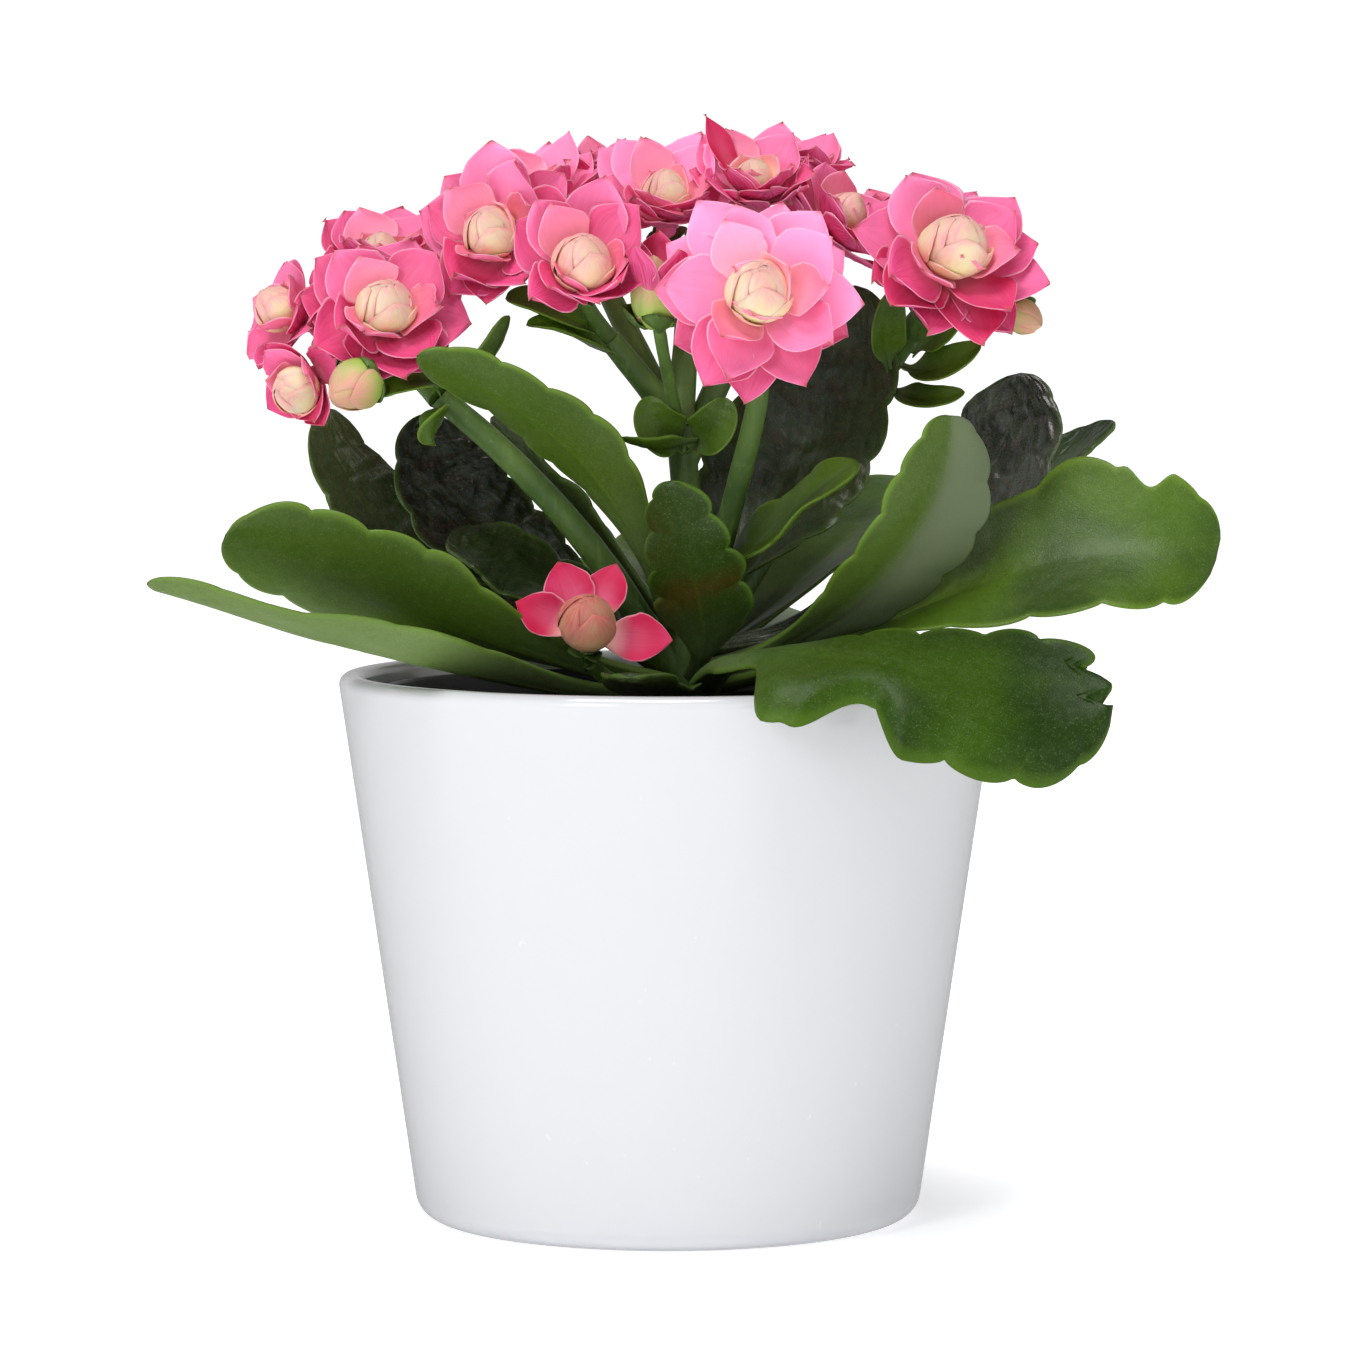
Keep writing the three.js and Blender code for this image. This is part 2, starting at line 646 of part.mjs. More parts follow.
// Tube of a stem: a round section drawn along a smooth path
function tubeSolid(points, radius, sides, steps) {
  const path = new THREE.CatmullRomCurve3(points.map(vector));
  const section = new THREE.Shape();
  for (let k = 0; k < sides; k += 1) {
    const angle = (k / sides) * Math.PI * 2;
    section[k === 0 ? 'moveTo' : 'lineTo'](Math.cos(angle) * radius, Math.sin(angle) * radius);
  }
  section.closePath();
  return toSolid(new THREE.ExtrudeGeometry(section, { steps, bevelEnabled: false, extrudePath: path }));
}

// Closed solid through rings of points, with a fan over each end
function loftSolid(rings) {
  const sides = rings[0].length;
  const positions = rings.flat().flatMap((point) => point.toArray());
  const index = [];
  const middle = (ring) => ring.reduce((sum, point) => sum.add(point), new THREE.Vector3())
    .divideScalar(sides).toArray();
  const foot = rings.length * sides;
  positions.push(...middle(rings[0]), ...middle(rings[rings.length - 1]));
  for (let k = 0; k < sides; k += 1) {
    const next = (k + 1) % sides;
    index.push(foot, next, k);
    for (let i = 0; i < rings.length - 1; i += 1) {
      const a = i * sides;
      const b = a + sides;
      index.push(a + k, a + next, b + next);
      index.push(a + k, b + next, b + k);
    }
    const last = (rings.length - 1) * sides;
    index.push(last + k, last + next, foot + 1);
  }
  const geometry = new THREE.BufferGeometry();
  geometry.setAttribute('position', new THREE.BufferAttribute(new Float32Array(positions), 3));
  geometry.setIndex(index);
  return toSolid(geometry);
}

// Stalk that runs from a fork to the foot of a bloom or bud and ends in the shape of its rings,
// given as [height, radius, radius of the sepals] along the way that it faces
function stalkSolid(from, matrix, endRings, grow) {
  const x = new THREE.Vector3();
  const y = new THREE.Vector3();
  const z = new THREE.Vector3();
  matrix.extractBasis(x, y, z);
  const foot = new THREE.Vector3(0, 0, endRings[0][0]).applyMatrix4(matrix);
  const knee = foot.clone().addScaledVector(z, -stalkBend);
  const path = new THREE.QuadraticBezierCurve3(vector(from), knee, foot);
  const ringAt = (centre, tangent, radii) => {
    const u = x.clone().addScaledVector(tangent, -x.dot(tangent)).normalize();
    const v = tangent.clone().cross(u);
    return Array.from({ length: stalkSides }, (_, k) => {
      const angle = (k / stalkSides) * Math.PI * 2;
      const radius = radii[k % 2] + grow;
      return centre.clone().addScaledVector(u, Math.cos(angle) * radius)
        .addScaledVector(v, Math.sin(angle) * radius);
    });
  };
  const rings = [ringAt(vector(from), path.getTangent(0), [pedicelRadius, pedicelRadius])];
  endRings.forEach(([height, radius, sepalRadius]) => {
    rings.push(ringAt(new THREE.Vector3(0, 0, height).applyMatrix4(matrix), z, [sepalRadius, radius]));
  });
  return loftSolid(rings);
}

// Small pointed blade of a bract
function sprigSolid({ midrib, up, half }, grow) {
  const curve = curveThrough(midrib);
  const rows = [];
  const ups = [];
  [[0, 0.45], [0.5, 1], [1, 0]].forEach(([t, width]) => {
    const tangent = curve.getTangent(t);
    const normal = vector(up).addScaledVector(tangent, -vector(up).dot(tangent)).normalize();
    const side = tangent.clone().cross(normal);
    const centre = curve.getPoint(t);
    ups.push(normal);
    if (t === 1) {
      rows.push([centre.addScaledVector(tangent, grow)]);
      return;
    }
    const reach = half * width + grow;
    rows.push([-1, 0, 1].map((s) => centre.clone().addScaledVector(side, reach * s)
      .addScaledVector(normal, Math.abs(s) * reach * 0.25)));
  });
  return bladeSolid(rows, ups, bractThickness / 2 + grow, bractThickness * 0.3 + grow);
}

function calyxRings() {
  const rim = -tubeLength - seatGap;
  return [
    [rim - calyxLength, pedicelRadius, pedicelRadius],
    [rim, calyxRadius, sepalReach],
  ];
}

function budRings({ length, radius }) {
  return [
    [-length / 2, pedicelRadius, radius * 0.6],
    [-length * 0.1, radius, radius],
    [length * 0.3, radius * 0.7, radius * 0.6],
    [length * 0.5, 0.4, 0.4],
  ];
}

function stemsSolid(grow) {
  const parts = Object.values(stems)
    .map(({ path, radius, steps }) => tubeSolid(path, radius + grow, stemSides, steps));
  forks.forEach(({ from, via, to }) => {
    if (from) {
      parts.push(tubeSolid([from, via], forkRadius + grow, forkSides, 1));
    }
    to.forEach((name) => parts.push(stalkSolid(via, bloomMatrix(blooms[name]), calyxRings(), grow)));
  });
  buds.forEach((bud) => {
    const matrix = bloomMatrix({ at: bud.at, axis: bud.axis, heart: [0, 0] });
    parts.push(stalkSolid(bud.from, matrix, budRings(bud), grow));
  });
  bracts.forEach((bract) => parts.push(sprigSolid(bract, grow)));
  return fuse(parts);
}

// Lathe profiles as [radius, height]
function arc(centre, radius, fromDegrees, toDegrees, steps) {
  const points = [];
  for (let k = 0; k <= steps; k += 1) {
    const angle = radians(THREE.MathUtils.lerp(fromDegrees, toDegrees, k / steps));
    points.push([centre[0] + radius * Math.cos(angle), centre[1] + radius * Math.sin(angle)]);
  }
  return points;
}

function potSolid() {
  const slope = (potRimRadius - potBaseRadius) / potHeight;
  const outerLip = [potRimRadius - potLipRound, potHeight - potLipRound];
  const innerLip = [potRimRadius - potWall + potLipRound, potHeight - potLipRound];
  const innerFloor = potBaseRadius - potWall + slope * potFloor;
  return turnedSolid([
    [0, 0],
    ...arc([potBaseRadius - potFootRound + 0.5, potFootRound], potFootRound, -90, -potWallLean, 3),
    ...arc(outerLip, potLipRound, -potWallLean, 90, 2),
    ...arc(innerLip, potLipRound, 90, 180, 2),
    [innerFloor + 1, potFloor + 3],
    [innerFloor - 2, potFloor],
    [0, potFloor],
  ], potSides);
}

function growingPotSolid() {
  const wallTop = growingRimRadius - growingRimWidth;
  const low = potFloor + seatGap;
  const foot = wallTop - growingTaper;
  return turnedSolid([
    [0, low],
    [foot, low],
    [wallTop, growingRimHeight - growingRimDepth],
    [growingRimRadius, growingRimHeight - growingRimDepth],
    [growingRimRadius, growingRimHeight],
    [growingRimRadius - growingLip, growingRimHeight],
    [growingRimRadius - growingLip, growingRimHeight - growingRimDepth + 1],
    [wallTop - growingWall, growingRimHeight - growingRimDepth],
    [foot - growingWall, low + growingWall],
    [0, low + growingWall],
  ], growingSides);
}

// Radius of the growing pot's inner face at a height
function growingInside(height) {
  const low = potFloor + seatGap + growingWall;
  const top = growingRimHeight - growingRimDepth;
  const wallTop = growingRimRadius - growingRimWidth - growingWall;
  return wallTop - growingTaper * (top - height) / (top - low);
}

function soilSolid() {
  const low = potFloor + growingWall + 2 * seatGap;
  const foot = growingInside(low) - seatGap;
  const edge = growingInside(soilHeight - soilDip) - seatGap;
  const draw = makeDraw(7);
  const geometry = turnedGeometry([
    [0, low],
    [foot, low],
    [edge, soilHeight - soilDip],
    [edge * 0.72, soilHeight],
    [edge * 0.4, soilHeight + soilDome],
    [0, soilHeight + soilDome],
  ], growingSides);
  const spots = geometry.attributes.position;
  for (let k = 0; k < spots.count; k += 1) {
    const radius = Math.hypot(spots.getX(k), spots.getY(k));
    if (spots.getZ(k) > soilHeight - 1 && radius > 1) {
      spots.setZ(k, spots.getZ(k) + draw(-0.5, 0.5) * soilSwell);
    }
  }
  return toSolid(geometry);
}

// Assembly
const plant = new THREE.Group();
function place(name, solid, [colour, roughness]) {
  const material = new THREE.MeshStandardMaterial({ color: colour, roughness, metalness: 0 });
  const mesh = new THREE.Mesh(toGeometry(solid), material);
  mesh.name = name;
  plant.add(mesh);
}

const pot = potSolid();
const growingPot = growingPotSolid();
const stemBody = stemsSolid(0);
const cutGap = seatGap - 0.02;
const grownStems = stemsSolid(cutGap);
place('pot', pot, colours.glaze);
place('growing_pot', growingPot, colours.plastic);
place('soil', clearOf(soilSolid(), [grownStems]), colours.soil);
place('stems', stemBody, colours.stem);

const taken = [];
Object.entries(leaves).forEach(([name, leaf]) => {
  place(name, clearOf(leafSolid(leaf, 0), [grownStems, ...taken]), colours.leaf);
  taken.push(leafSolid(leaf, cutGap));
});
Object.entries(blooms).forEach(([name, bloom], order) => {
  const matrix = bloomMatrix(bloom);
  const heart = placed(heartSolid(bloom.heart, 0), matrix);
  const grownHeart = placed(heartSolid(bloom.heart, cutGap), matrix);
  const petals = placed(bloomSolid(bloom, order + 1, 0), matrix);
  place(`bloom_${name}`, clearOf(petals, [grownHeart, grownStems, ...taken]), colours.petal);
  place(`heart_${name}`, clearOf(heart, [grownStems, ...taken]), colours.heart);
  taken.push(grownHeart, placed(bloomSolid(bloom, order + 1, cutGap), matrix));
});

export default plant;
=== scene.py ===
# A double-flowered kalanchoe in a glazed cachepot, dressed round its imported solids
import json
import math

import bpy
import numpy as np
from mathutils import Matrix, Vector

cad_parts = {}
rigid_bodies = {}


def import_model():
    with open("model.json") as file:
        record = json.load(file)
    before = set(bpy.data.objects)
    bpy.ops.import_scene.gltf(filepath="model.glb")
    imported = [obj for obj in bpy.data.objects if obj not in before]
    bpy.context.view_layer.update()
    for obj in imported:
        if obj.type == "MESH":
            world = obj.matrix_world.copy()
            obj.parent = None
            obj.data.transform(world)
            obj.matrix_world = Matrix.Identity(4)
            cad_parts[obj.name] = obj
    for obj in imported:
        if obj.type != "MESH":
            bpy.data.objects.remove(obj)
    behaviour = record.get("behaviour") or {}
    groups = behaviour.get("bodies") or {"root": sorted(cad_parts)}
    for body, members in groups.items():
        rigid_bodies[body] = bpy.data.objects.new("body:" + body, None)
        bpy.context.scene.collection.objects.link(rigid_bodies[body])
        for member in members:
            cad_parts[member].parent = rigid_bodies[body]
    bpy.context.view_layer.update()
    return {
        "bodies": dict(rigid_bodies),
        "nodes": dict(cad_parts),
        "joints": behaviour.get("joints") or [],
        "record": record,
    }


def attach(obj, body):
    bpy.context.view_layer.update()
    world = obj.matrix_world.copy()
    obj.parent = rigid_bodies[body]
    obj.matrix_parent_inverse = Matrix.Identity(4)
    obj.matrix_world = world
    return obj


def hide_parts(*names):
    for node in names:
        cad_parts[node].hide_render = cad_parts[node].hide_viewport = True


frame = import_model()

mm = 0.001
upright = Vector((0, 0, 1))


def isWide(value):
    if isinstance(value, Wire):
        return value.socket.type in ("VECTOR", "RGBA")
    return isinstance(value, (tuple, list, Vector))


def operator(operation, reflected=False):
    def reckoned(wire, other):
        values = (other, wire) if reflected else (wire, other)
        return wire.sheet.reckon(operation, *values)

    return reckoned


class Wire:
    # an output socket that can be reckoned with
    __add__, __radd__ = operator("ADD"), operator("ADD", True)
    __sub__, __rsub__ = operator("SUBTRACT"), operator("SUBTRACT", True)
    __mul__, __rmul__ = operator("MULTIPLY"), operator("MULTIPLY", True)
    __truediv__, __rtruediv__ = operator("DIVIDE"), operator("DIVIDE", True)
    __pow__, __rpow__ = operator("POWER"), operator("POWER", True)

    def __init__(self, sheet, socket):
        self.sheet = sheet
        self.socket = socket

    def __abs__(self):
        return self.of("ABSOLUTE")

    def also(self, name):
        return Wire(self.sheet, self.socket.node.outputs[name])

    def of(self, operation, *others):
        return self.sheet.reckon(operation, self, *others)

    def atLeast(self, least):
        return self.of("MAXIMUM", least)

    def atMost(self, most):
        return self.of("MINIMUM", most)


class Sheet:
    # a node tree and what is added to it
    def __init__(self, tree):
        self.tree = tree

    def feed(self, socket, value):
        if isinstance(value, Wire):
            self.tree.links.new(value.socket, socket)
        else:
            socket.default_value = value

    def add(self, kind, wires=None, out=0, **settings):
        node = self.tree.nodes.new(kind)
        for name, value in settings.items():
            setattr(node, name, value)
        for key, value in (wires or {}).items():
            self.feed(node.inputs[key], value)
        return Wire(self, node.outputs[out])

    def reckon(self, operation, *values):
        wide = [isWide(value) for value in values]
        if not any(wide):
            return self.add("ShaderNodeMath", dict(enumerate(values)), operation=operation)
        if operation == "MULTIPLY" and not all(wide):
            vector, number = values if wide[0] else values[::-1]
            return self.add("ShaderNodeVectorMath", {0: vector, "Scale": number}, operation="SCALE")
        out = "Value" if operation in ("DOT_PRODUCT", "LENGTH") else "Vector"
        return self.add("ShaderNodeVectorMath", dict(enumerate(values)), out, operation=operation)

    def between(self, value, low, high, start=0.0, end=1.0):
        # smooth rise from start to end while value goes from low to high
        wires = {"Value": value, "From Min": low, "From Max": high, "To Min": start, "To Max": end}
        return self.add("ShaderNodeMapRange", wires, interpolation_type="SMOOTHSTEP")

    def colour(self, factor, first, second):
        first, second = (c if isinstance(c, Wire) else (*c, 1) for c in (first, second))
        return self.add("ShaderNodeMix", {0: factor, 6: first, 7: second}, 2, data_type="RGBA")

    def coats(self, colour, *coats):
        # lays coats over a colour, each given by its share and its own colour
        for share, tone in coats:
            colour = self.colour(share, colour, tone)
        return colour

    def noise(self, place, scale, detail=2.0, rough=0.5, twist=0.0):
        wires = {"Vector": place, "Scale": scale, "Detail": detail, "Roughness": rough,
                 "Distortion": twist}
        return self.add("ShaderNodeTexNoise", wires)

    def vector(self, x, y, z):
        return self.add("ShaderNodeCombineXYZ", {0: x, 1: y, 2: z})


class Paint(Sheet):
    # a material with one Principled shader
    def __init__(self, name, **fixed):
        self.material = bpy.data.materials.new(name)
        self.material.use_nodes = True
        super().__init__(self.material.node_tree)
        self.shader = self.tree.nodes["Principled BSDF"]
        for label, value in fixed.items():
            self.shader.inputs[label.replace("_", " ")].default_value = value
        self.place = self.add("ShaderNodeTexCoord").also("Object")

    def numbers(self, *names):
        return [self.add("ShaderNodeAttribute", out="Fac", attribute_name=name) for name in names]

    def grain(self, scale, *more):
        return self.noise(self.place, scale, *more)

    def drive(self, label, value):
        self.feed(self.shader.inputs[label], value)

    def finish(self, colour, rough, height=None, depth=0.1 * mm, strength=1.0):
        self.drive("Base Color", colour)
        self.drive("Roughness", rough)
        if height is not None:
            wires = {"Height": height, "Distance": depth, "Strength": strength}
            self.drive("Normal", self.add("ShaderNodeBump", wires))
        return self.material


class Grower(Sheet):
    # a geometry tree with named inputs and the values they start from
    kinds = {int: "Int", float: "Float", tuple: "Vector"}

    def __init__(self, name, **given):
        super().__init__(bpy.data.node_groups.new(name, "GeometryNodeTree"))
        face = self.tree.interface
        face.new_socket("Geometry", in_out="OUTPUT", socket_type="NodeSocketGeometry")
        face.new_socket("Geometry", in_out="INPUT", socket_type="NodeSocketGeometry")
        self.keys = {}
        for label, value in {**given, "Finish": None}.items():
            kind = self.kinds.get(type(value), "Material")
            socket = face.new_socket(label, in_out="INPUT", socket_type="NodeSocket" + kind)
            if kind != "Material":
                socket.default_value = value
            self.keys[label] = socket.identifier
        self.entry = self.add("NodeGroupInput")

    def __getitem__(self, label):
        return self.entry.also(label)

    def numbers(self, *names):
        kind = "GeometryNodeInputNamedAttribute"
        return [self.add(kind, {"Name": name}, data_type="FLOAT") for name in names]

    def keep(self, geometry, **values):
        for name, value in values.items():
            wires = {"Geometry": geometry, "Name": name, "Value": value}
            geometry = self.add("GeometryNodeStoreNamedAttribute", wires, data_type="FLOAT")
        return geometry

    def rod(self):
        # a rod of radius 1, the share along it from 0 to 1, and the places across and over it
        wires = {"Vertices": self["Around"], "Side Segments": self["Rows"], "Radius": 1.0, "Depth": 1.0}
        rod = self.add("GeometryNodeMeshCylinder", wires, fill_type="NGON")
        spot = self.add("ShaderNodeSeparateXYZ", {0: self.add("GeometryNodeInputPosition")})
        return rod, (spot.also("Z") + 0.5).atLeast(0.0), spot, spot.also("Y")

    def rods(self):
        # a rod for each point of the mesh that comes in, which carries the point's numbers
        rod, along, across, upper = self.rod()
        rod = self.keep(rod, along=along, across=across, upper=upper)
        points = self.add("GeometryNodeMeshToPoints", {"Mesh": self.entry})
        copies = self.add("GeometryNodeInstanceOnPoints", {"Points": points, "Instance": rod})
        whole = self.add("GeometryNodeRealizeInstances", {0: copies})
        return whole, *self.numbers("along", "across", "upper")

    def put(self, geometry, place):
        return self.close(self.add("GeometryNodeSetPosition", {"Geometry": geometry, "Position": place}))

    def close(self, geometry):
        smooth = self.add("GeometryNodeSetShadeSmooth", {0: geometry})
        whole = self.add("GeometryNodeRealizeInstances", {0: smooth})
        done = self.add("GeometryNodeSetMaterial", {"Geometry": whole, "Material": self["Finish"]})
        self.tree.links.new(done.socket, self.tree.nodes.new("NodeGroupOutput").inputs[0])
        return self

    def grow(self, thing, **values):
        # runs the tree on an object and leaves the plain mesh on it
        modifier = thing.modifiers.new(self.tree.name, "NODES")
        modifier.node_group = self.tree
        for label, value in values.items():
            modifier[self.keys[label]] = value
        graph = bpy.context.evaluated_depsgraph_get()
        mesh = bpy.data.meshes.new_from_object(
            thing.evaluated_get(graph), preserve_all_data_layers=True, depsgraph=graph)
        thing.modifiers.remove(modifier)
        thing.data = mesh
        return thing


def shown(thing):
    bpy.context.scene.collection.objects.link(thing)
    return thing


def newThing(name, points=(), edges=(), faces=(), numbers=None):
    mesh = bpy.data.meshes.new(name)
    mesh.from_pydata([tuple(p) for p in points], edges, faces)
    for label, values in (numbers or {}).items():
        mesh.attributes.new(label, "FLOAT", "POINT").data.foreach_set("value", values)
    return shown(bpy.data.objects.new(name, mesh))


def joined(things, name):
    whole = things[0]
    if len(things) > 1:
        with bpy.context.temp_override(active_object=whole, selected_editable_objects=things):
            bpy.ops.object.join()
    whole.name = name
    whole.data.name = name
    return whole


def dress(thing, slot, *nodes):
    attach(thing, "root")
    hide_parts(*nodes)
    return thing


def makeDraw(seed):
    # the same seeded draw as the part's own, so that petals lie where their solids are
    state = [seed]

    def draw(low, high):
        state[0] = (state[0] * 1664525 + 1013904223) % 4294967296
        return low + (high - low) * state[0] / 4294967296

    return draw


def millimetres(point):
    return Vector(point) * mm


def controlPoints(points):
    # ends and handles of the curve that passes four points at equal steps
    p0, p1, p2, p3 = (millimetres(p) for p in points)
    near = p0 * (-5 / 6) + p1 * 3 - p2 * 1.5 + p3 / 3
    far = p0 / 3 - p1 * 1.5 + p2 * 3 - p3 * (5 / 6)
    return p0, near, far, p3


# camera, light and ground
studio = {
    "stand": (1.83, -749, 121.75), "look": (1.83, 0, 65.15), "lens": 162.55, "sensor": 36,
    "surround": 0.17, "sky": (0.97, 0.98, 1, 1), "backdrop": 1.05, "span": 12,
    "glowNear": (0.03, 0.06), "glowFar": (0.06, 0.13), "footGlow": 0.5,
}

# place, aim, size in metres and power of each soft light
softLights = {
    "overhead": ((-0.1, -0.25, 0.95), (0, 0, 0.08), (0.5, 0.4), 5.6),
    "leftBox": ((-0.5, -0.95, 0.55), (0, 0, 0.06), (0.28, 0.4), 3.7),
    "rightFill": ((0.75, -0.65, 0.35), (0, 0, 0.06), (0.4, 0.5), 0.6),
}

# a round grey screen that only shows in gloss, so that the pale pot keeps its edges
screen = {"radius": 0.45, "low": -0.4, "high": 0.5, "steps": 72, "front": 0.9, "behind": 0.42}


def aimed(thing, place, aim):
    thing.location = place
    thing.rotation_euler = (Vector(aim) - Vector(place)).to_track_quat("-Z", "Y").to_euler()
    return shown(thing)


def makeCamera():
    data = bpy.data.cameras.new("camera")
    data.lens = studio["lens"]
    data.sensor_width = studio["sensor"]
    camera = bpy.data.objects.new("camera", data)
    aimed(camera, millimetres(studio["stand"]), millimetres(studio["look"]))
    bpy.context.scene.camera = camera


def areaLight(name, place, aim, size, power):
    data = bpy.data.lights.new(name, "AREA")
    data.shape = "RECTANGLE"
    data.size, data.size_y = size
    data.energy = power
    aimed(bpy.data.objects.new(name, data), place, aim)


def hideFrom(thing, *rays):
    for ray in rays:
        setattr(thing, "visible_" + ray, False)
    return thing


def makeFloor():
    # it glows evenly, but less in a soft patch round the pot's foot, so that the lamps' shadow shows there
    # and the dimmer glow paints soft shade round the foot
    paint = Paint("paleFloor", Emission_Strength=1)
    paint.finish(paint.colour(paint.grain(40.0), (0.86, 0.86, 0.87), (0.88, 0.88, 0.88)), 0.9)
    away = paint.place.of("LENGTH")
    near, far = (paint.between(away, *studio[label]) for label in ("glowNear", "glowFar"))
    # the glow at the foot is kept low: painted shade round the pot's foot
    dim = studio["footGlow"]
    glow = paint.colour(near * 0.55 + far * 0.45, (dim, dim, dim * 1.02), (1, 1, 1))
    paint.drive("Emission Color", glow)
    span = studio["span"]
    corners = [(-span, -span, 0), (span, -span, 0), (span, span, 0), (-span, span, 0)]
    floor = newThing("floor", corners, (), [(0, 1, 2, 3)])
    floor.data.materials.append(paint.material)
    return hideFrom(floor, "glossy")


def makeBackdrop():
    bpy.ops.mesh.primitive_uv_sphere_add(segments=48, ring_count=24, radius=studio["span"])
    dome = bpy.context.object
    dome.name = "backdrop"
    white = Paint("whiteBackdrop", Roughness=1, Base_Color=(0.01, 0.01, 0.01, 1),
                  Emission_Color=(1, 1, 1, 1), Emission_Strength=studio["backdrop"])
    dome.data.materials.append(white.material)
    return hideFrom(dome, "diffuse", "glossy", "transmission", "shadow", "volume_scatter")


def makeScreen():
    radius, steps = screen["radius"], screen["steps"]
    points, faces = [], []
    for k in range(steps):
        angle = math.tau * k / steps
        for height in (screen["low"], screen["high"]):
            points.append((radius * math.cos(angle), radius * math.sin(angle), height))
        n = (k + 1) % steps
        faces.append((2 * k, 2 * k + 1, 2 * n + 1, 2 * n))
    paint = Paint("greyScreen", Emission_Strength=1, Base_Color=(0, 0, 0, 1))
    depth = paint.place.of("DOT_PRODUCT", (0, 1, 0))
    front, behind = ((screen[label],) * 3 for label in ("front", "behind"))
    paint.drive("Emission Color", paint.colour(paint.between(depth, -radius * 0.6, radius), front, behind))
    wall = newThing("screenWall", points, (), faces)
    wall.data.materials.append(paint.material)
    return hideFrom(wall, "camera", "diffuse", "transmission", "shadow", "volume_scatter")


def makeStudio():
    world = bpy.data.worlds.new("surround")
    bpy.context.scene.world = world
    world.use_nodes = True
    ground = world.node_tree.nodes["Background"]
    ground.inputs["Color"].default_value = studio["sky"]
    ground.inputs["Strength"].default_value = studio["surround"]
    for name, light in softLights.items():
        areaLight(name, *light)
    floor = makeFloor()
    dome = makeBackdrop()
    makeScreen()


makeCamera()
makeStudio()
bpy.context.scene.view_settings.view_transform = "Standard"
print("studio ready")


# turned wares: the cachepot and the growing pot in it
def turned(name, profile, steps, sharpOver=35):
    points, faces = [], []
    rings = []
    for radius, height in profile:
        if radius == 0:
            rings.append([len(points)] * steps)
            points.append((0, 0, height * mm))
            continue
        rings.append(list(range(len(points), len(points) + steps)))
        for k in range(steps):
            angle = math.tau * k / steps
            points.append((radius * math.cos(angle) * mm, radius * math.sin(angle) * mm, height * mm))
    for low, high in zip(rings, rings[1:]):
        for k in range(steps):
            n = (k + 1) % steps
            corners = [low[k], low[n], high[n], high[k]]
            faces.append([c for i, c in enumerate(corners) if c not in corners[:i]])
    thing = newThing(name, points, (), faces)
    thing.data.shade_smooth()
    thing.data.set_sharp_from_angle(angle=math.radians(sharpOver))
    return thing


def arc(centre, radius, start, end, steps):
    angles = [math.radians(start + (end - start) * k / steps) for k in range(steps + 1)]
    return [(centre[0] + radius * math.cos(a), centre[1] + radius * math.sin(a)) for a in angles]


cachepot = {
    "height": 66.5, "rim": 40, "foot": 30.4, "wall": 3, "floor": 4, "lip": 1.3, "footRound": 3.2,
    "lean": 8, "underRecess": 0.5, "steps": 192,
}
growingPot = {
    "rim": 35.6, "top": 64.6, "rimWidth": 1.9, "rimDepth": 4, "taper": 9.4, "wall": 0.9, "lip": 0.4,
    "seat": 0.3, "steps": 128,
}


def glazePaint():
    paint = Paint("whiteGlaze", IOR=1.5, Coat_Weight=0.6, Coat_Roughness=0.04, Coat_IOR=1.5)
    pinhole = paint.between(paint.grain(900.0, 1.0), 0.76, 0.82)
    white = paint.colour(paint.grain(28.0, 3.0), (0.655, 0.66, 0.685), (0.675, 0.68, 0.705))
    white = paint.colour(pinhole, white, (0.72, 0.72, 0.74))
    ripple = paint.grain(90.0) * 0.7 + paint.grain(400.0) * 0.08
    return paint.finish(white, 0.13 + paint.grain(60.0) * 0.05, ripple, 0.12 * mm, 0.25)


def plasticPaint():
    paint = Paint("blackPlastic", IOR=1.49)
    dust = paint.between(paint.grain(160.0, 4.0), 0.55, 0.75)
    black = paint.colour(dust, (0.011, 0.011, 0.012), (0.035, 0.033, 0.03))
    return paint.finish(black, 0.3 + dust * 0.25, paint.grain(1500.0), 0.04 * mm, 0.5)


def makePots():
    p = cachepot
    inner = p["foot"] - p["wall"] + (p["rim"] - p["foot"]) * p["floor"] / p["height"]
    ridge = p["foot"] - p["footRound"]
    pot = turned("cachepotBody", [
        (0, p["underRecess"]), (ridge - 4, p["underRecess"]), (ridge - 3.4, 0.1), (ridge - 2.8, 0),
        *arc((ridge + 0.5, p["footRound"]), p["footRound"], -90, -p["lean"], 12),
        *arc((p["rim"] - p["lip"], p["height"] - p["lip"]), p["lip"], -p["lean"], 90, 12),
        *arc((p["rim"] - p["wall"] + p["lip"], p["height"] - p["lip"]), p["lip"], 90, 180, 12),
        (inner + 1, p["floor"] + 3), (inner, p["floor"] + 1), (inner - 2, p["floor"]), (0, p["floor"]),
    ], p["steps"])
    pot.data.materials.append(glazePaint())
    dress(pot, "glaze", "pot")

    g = growingPot
    low = p["floor"] + g["seat"]
    wallTop = g["rim"] - g["rimWidth"]
    foot = wallTop - g["taper"]
    rimLow = g["top"] - g["rimDepth"]
    lip = g["lip"]
    inside = turned("growingPotBody", [
        (0, low), (foot - 1, low), (foot, low + 1), (wallTop, rimLow), (g["rim"] - 0.3, rimLow),
        (g["rim"], rimLow + lip), (g["rim"], g["top"] - lip),
        *arc((g["rim"] - lip, g["top"] - lip), lip, 20, 160, 6), (g["rim"] - 2 * lip, g["top"] - lip),
        (g["rim"] - 1, rimLow + 1), (wallTop - g["wall"], rimLow),
        (foot - g["wall"], low + g["wall"]), (0, low + g["wall"]),
    ], g["steps"])
    inside.data.materials.append(plasticPaint())
    dress(inside, "black_plastic", "growing_pot")


makePots()
print("pots ready")


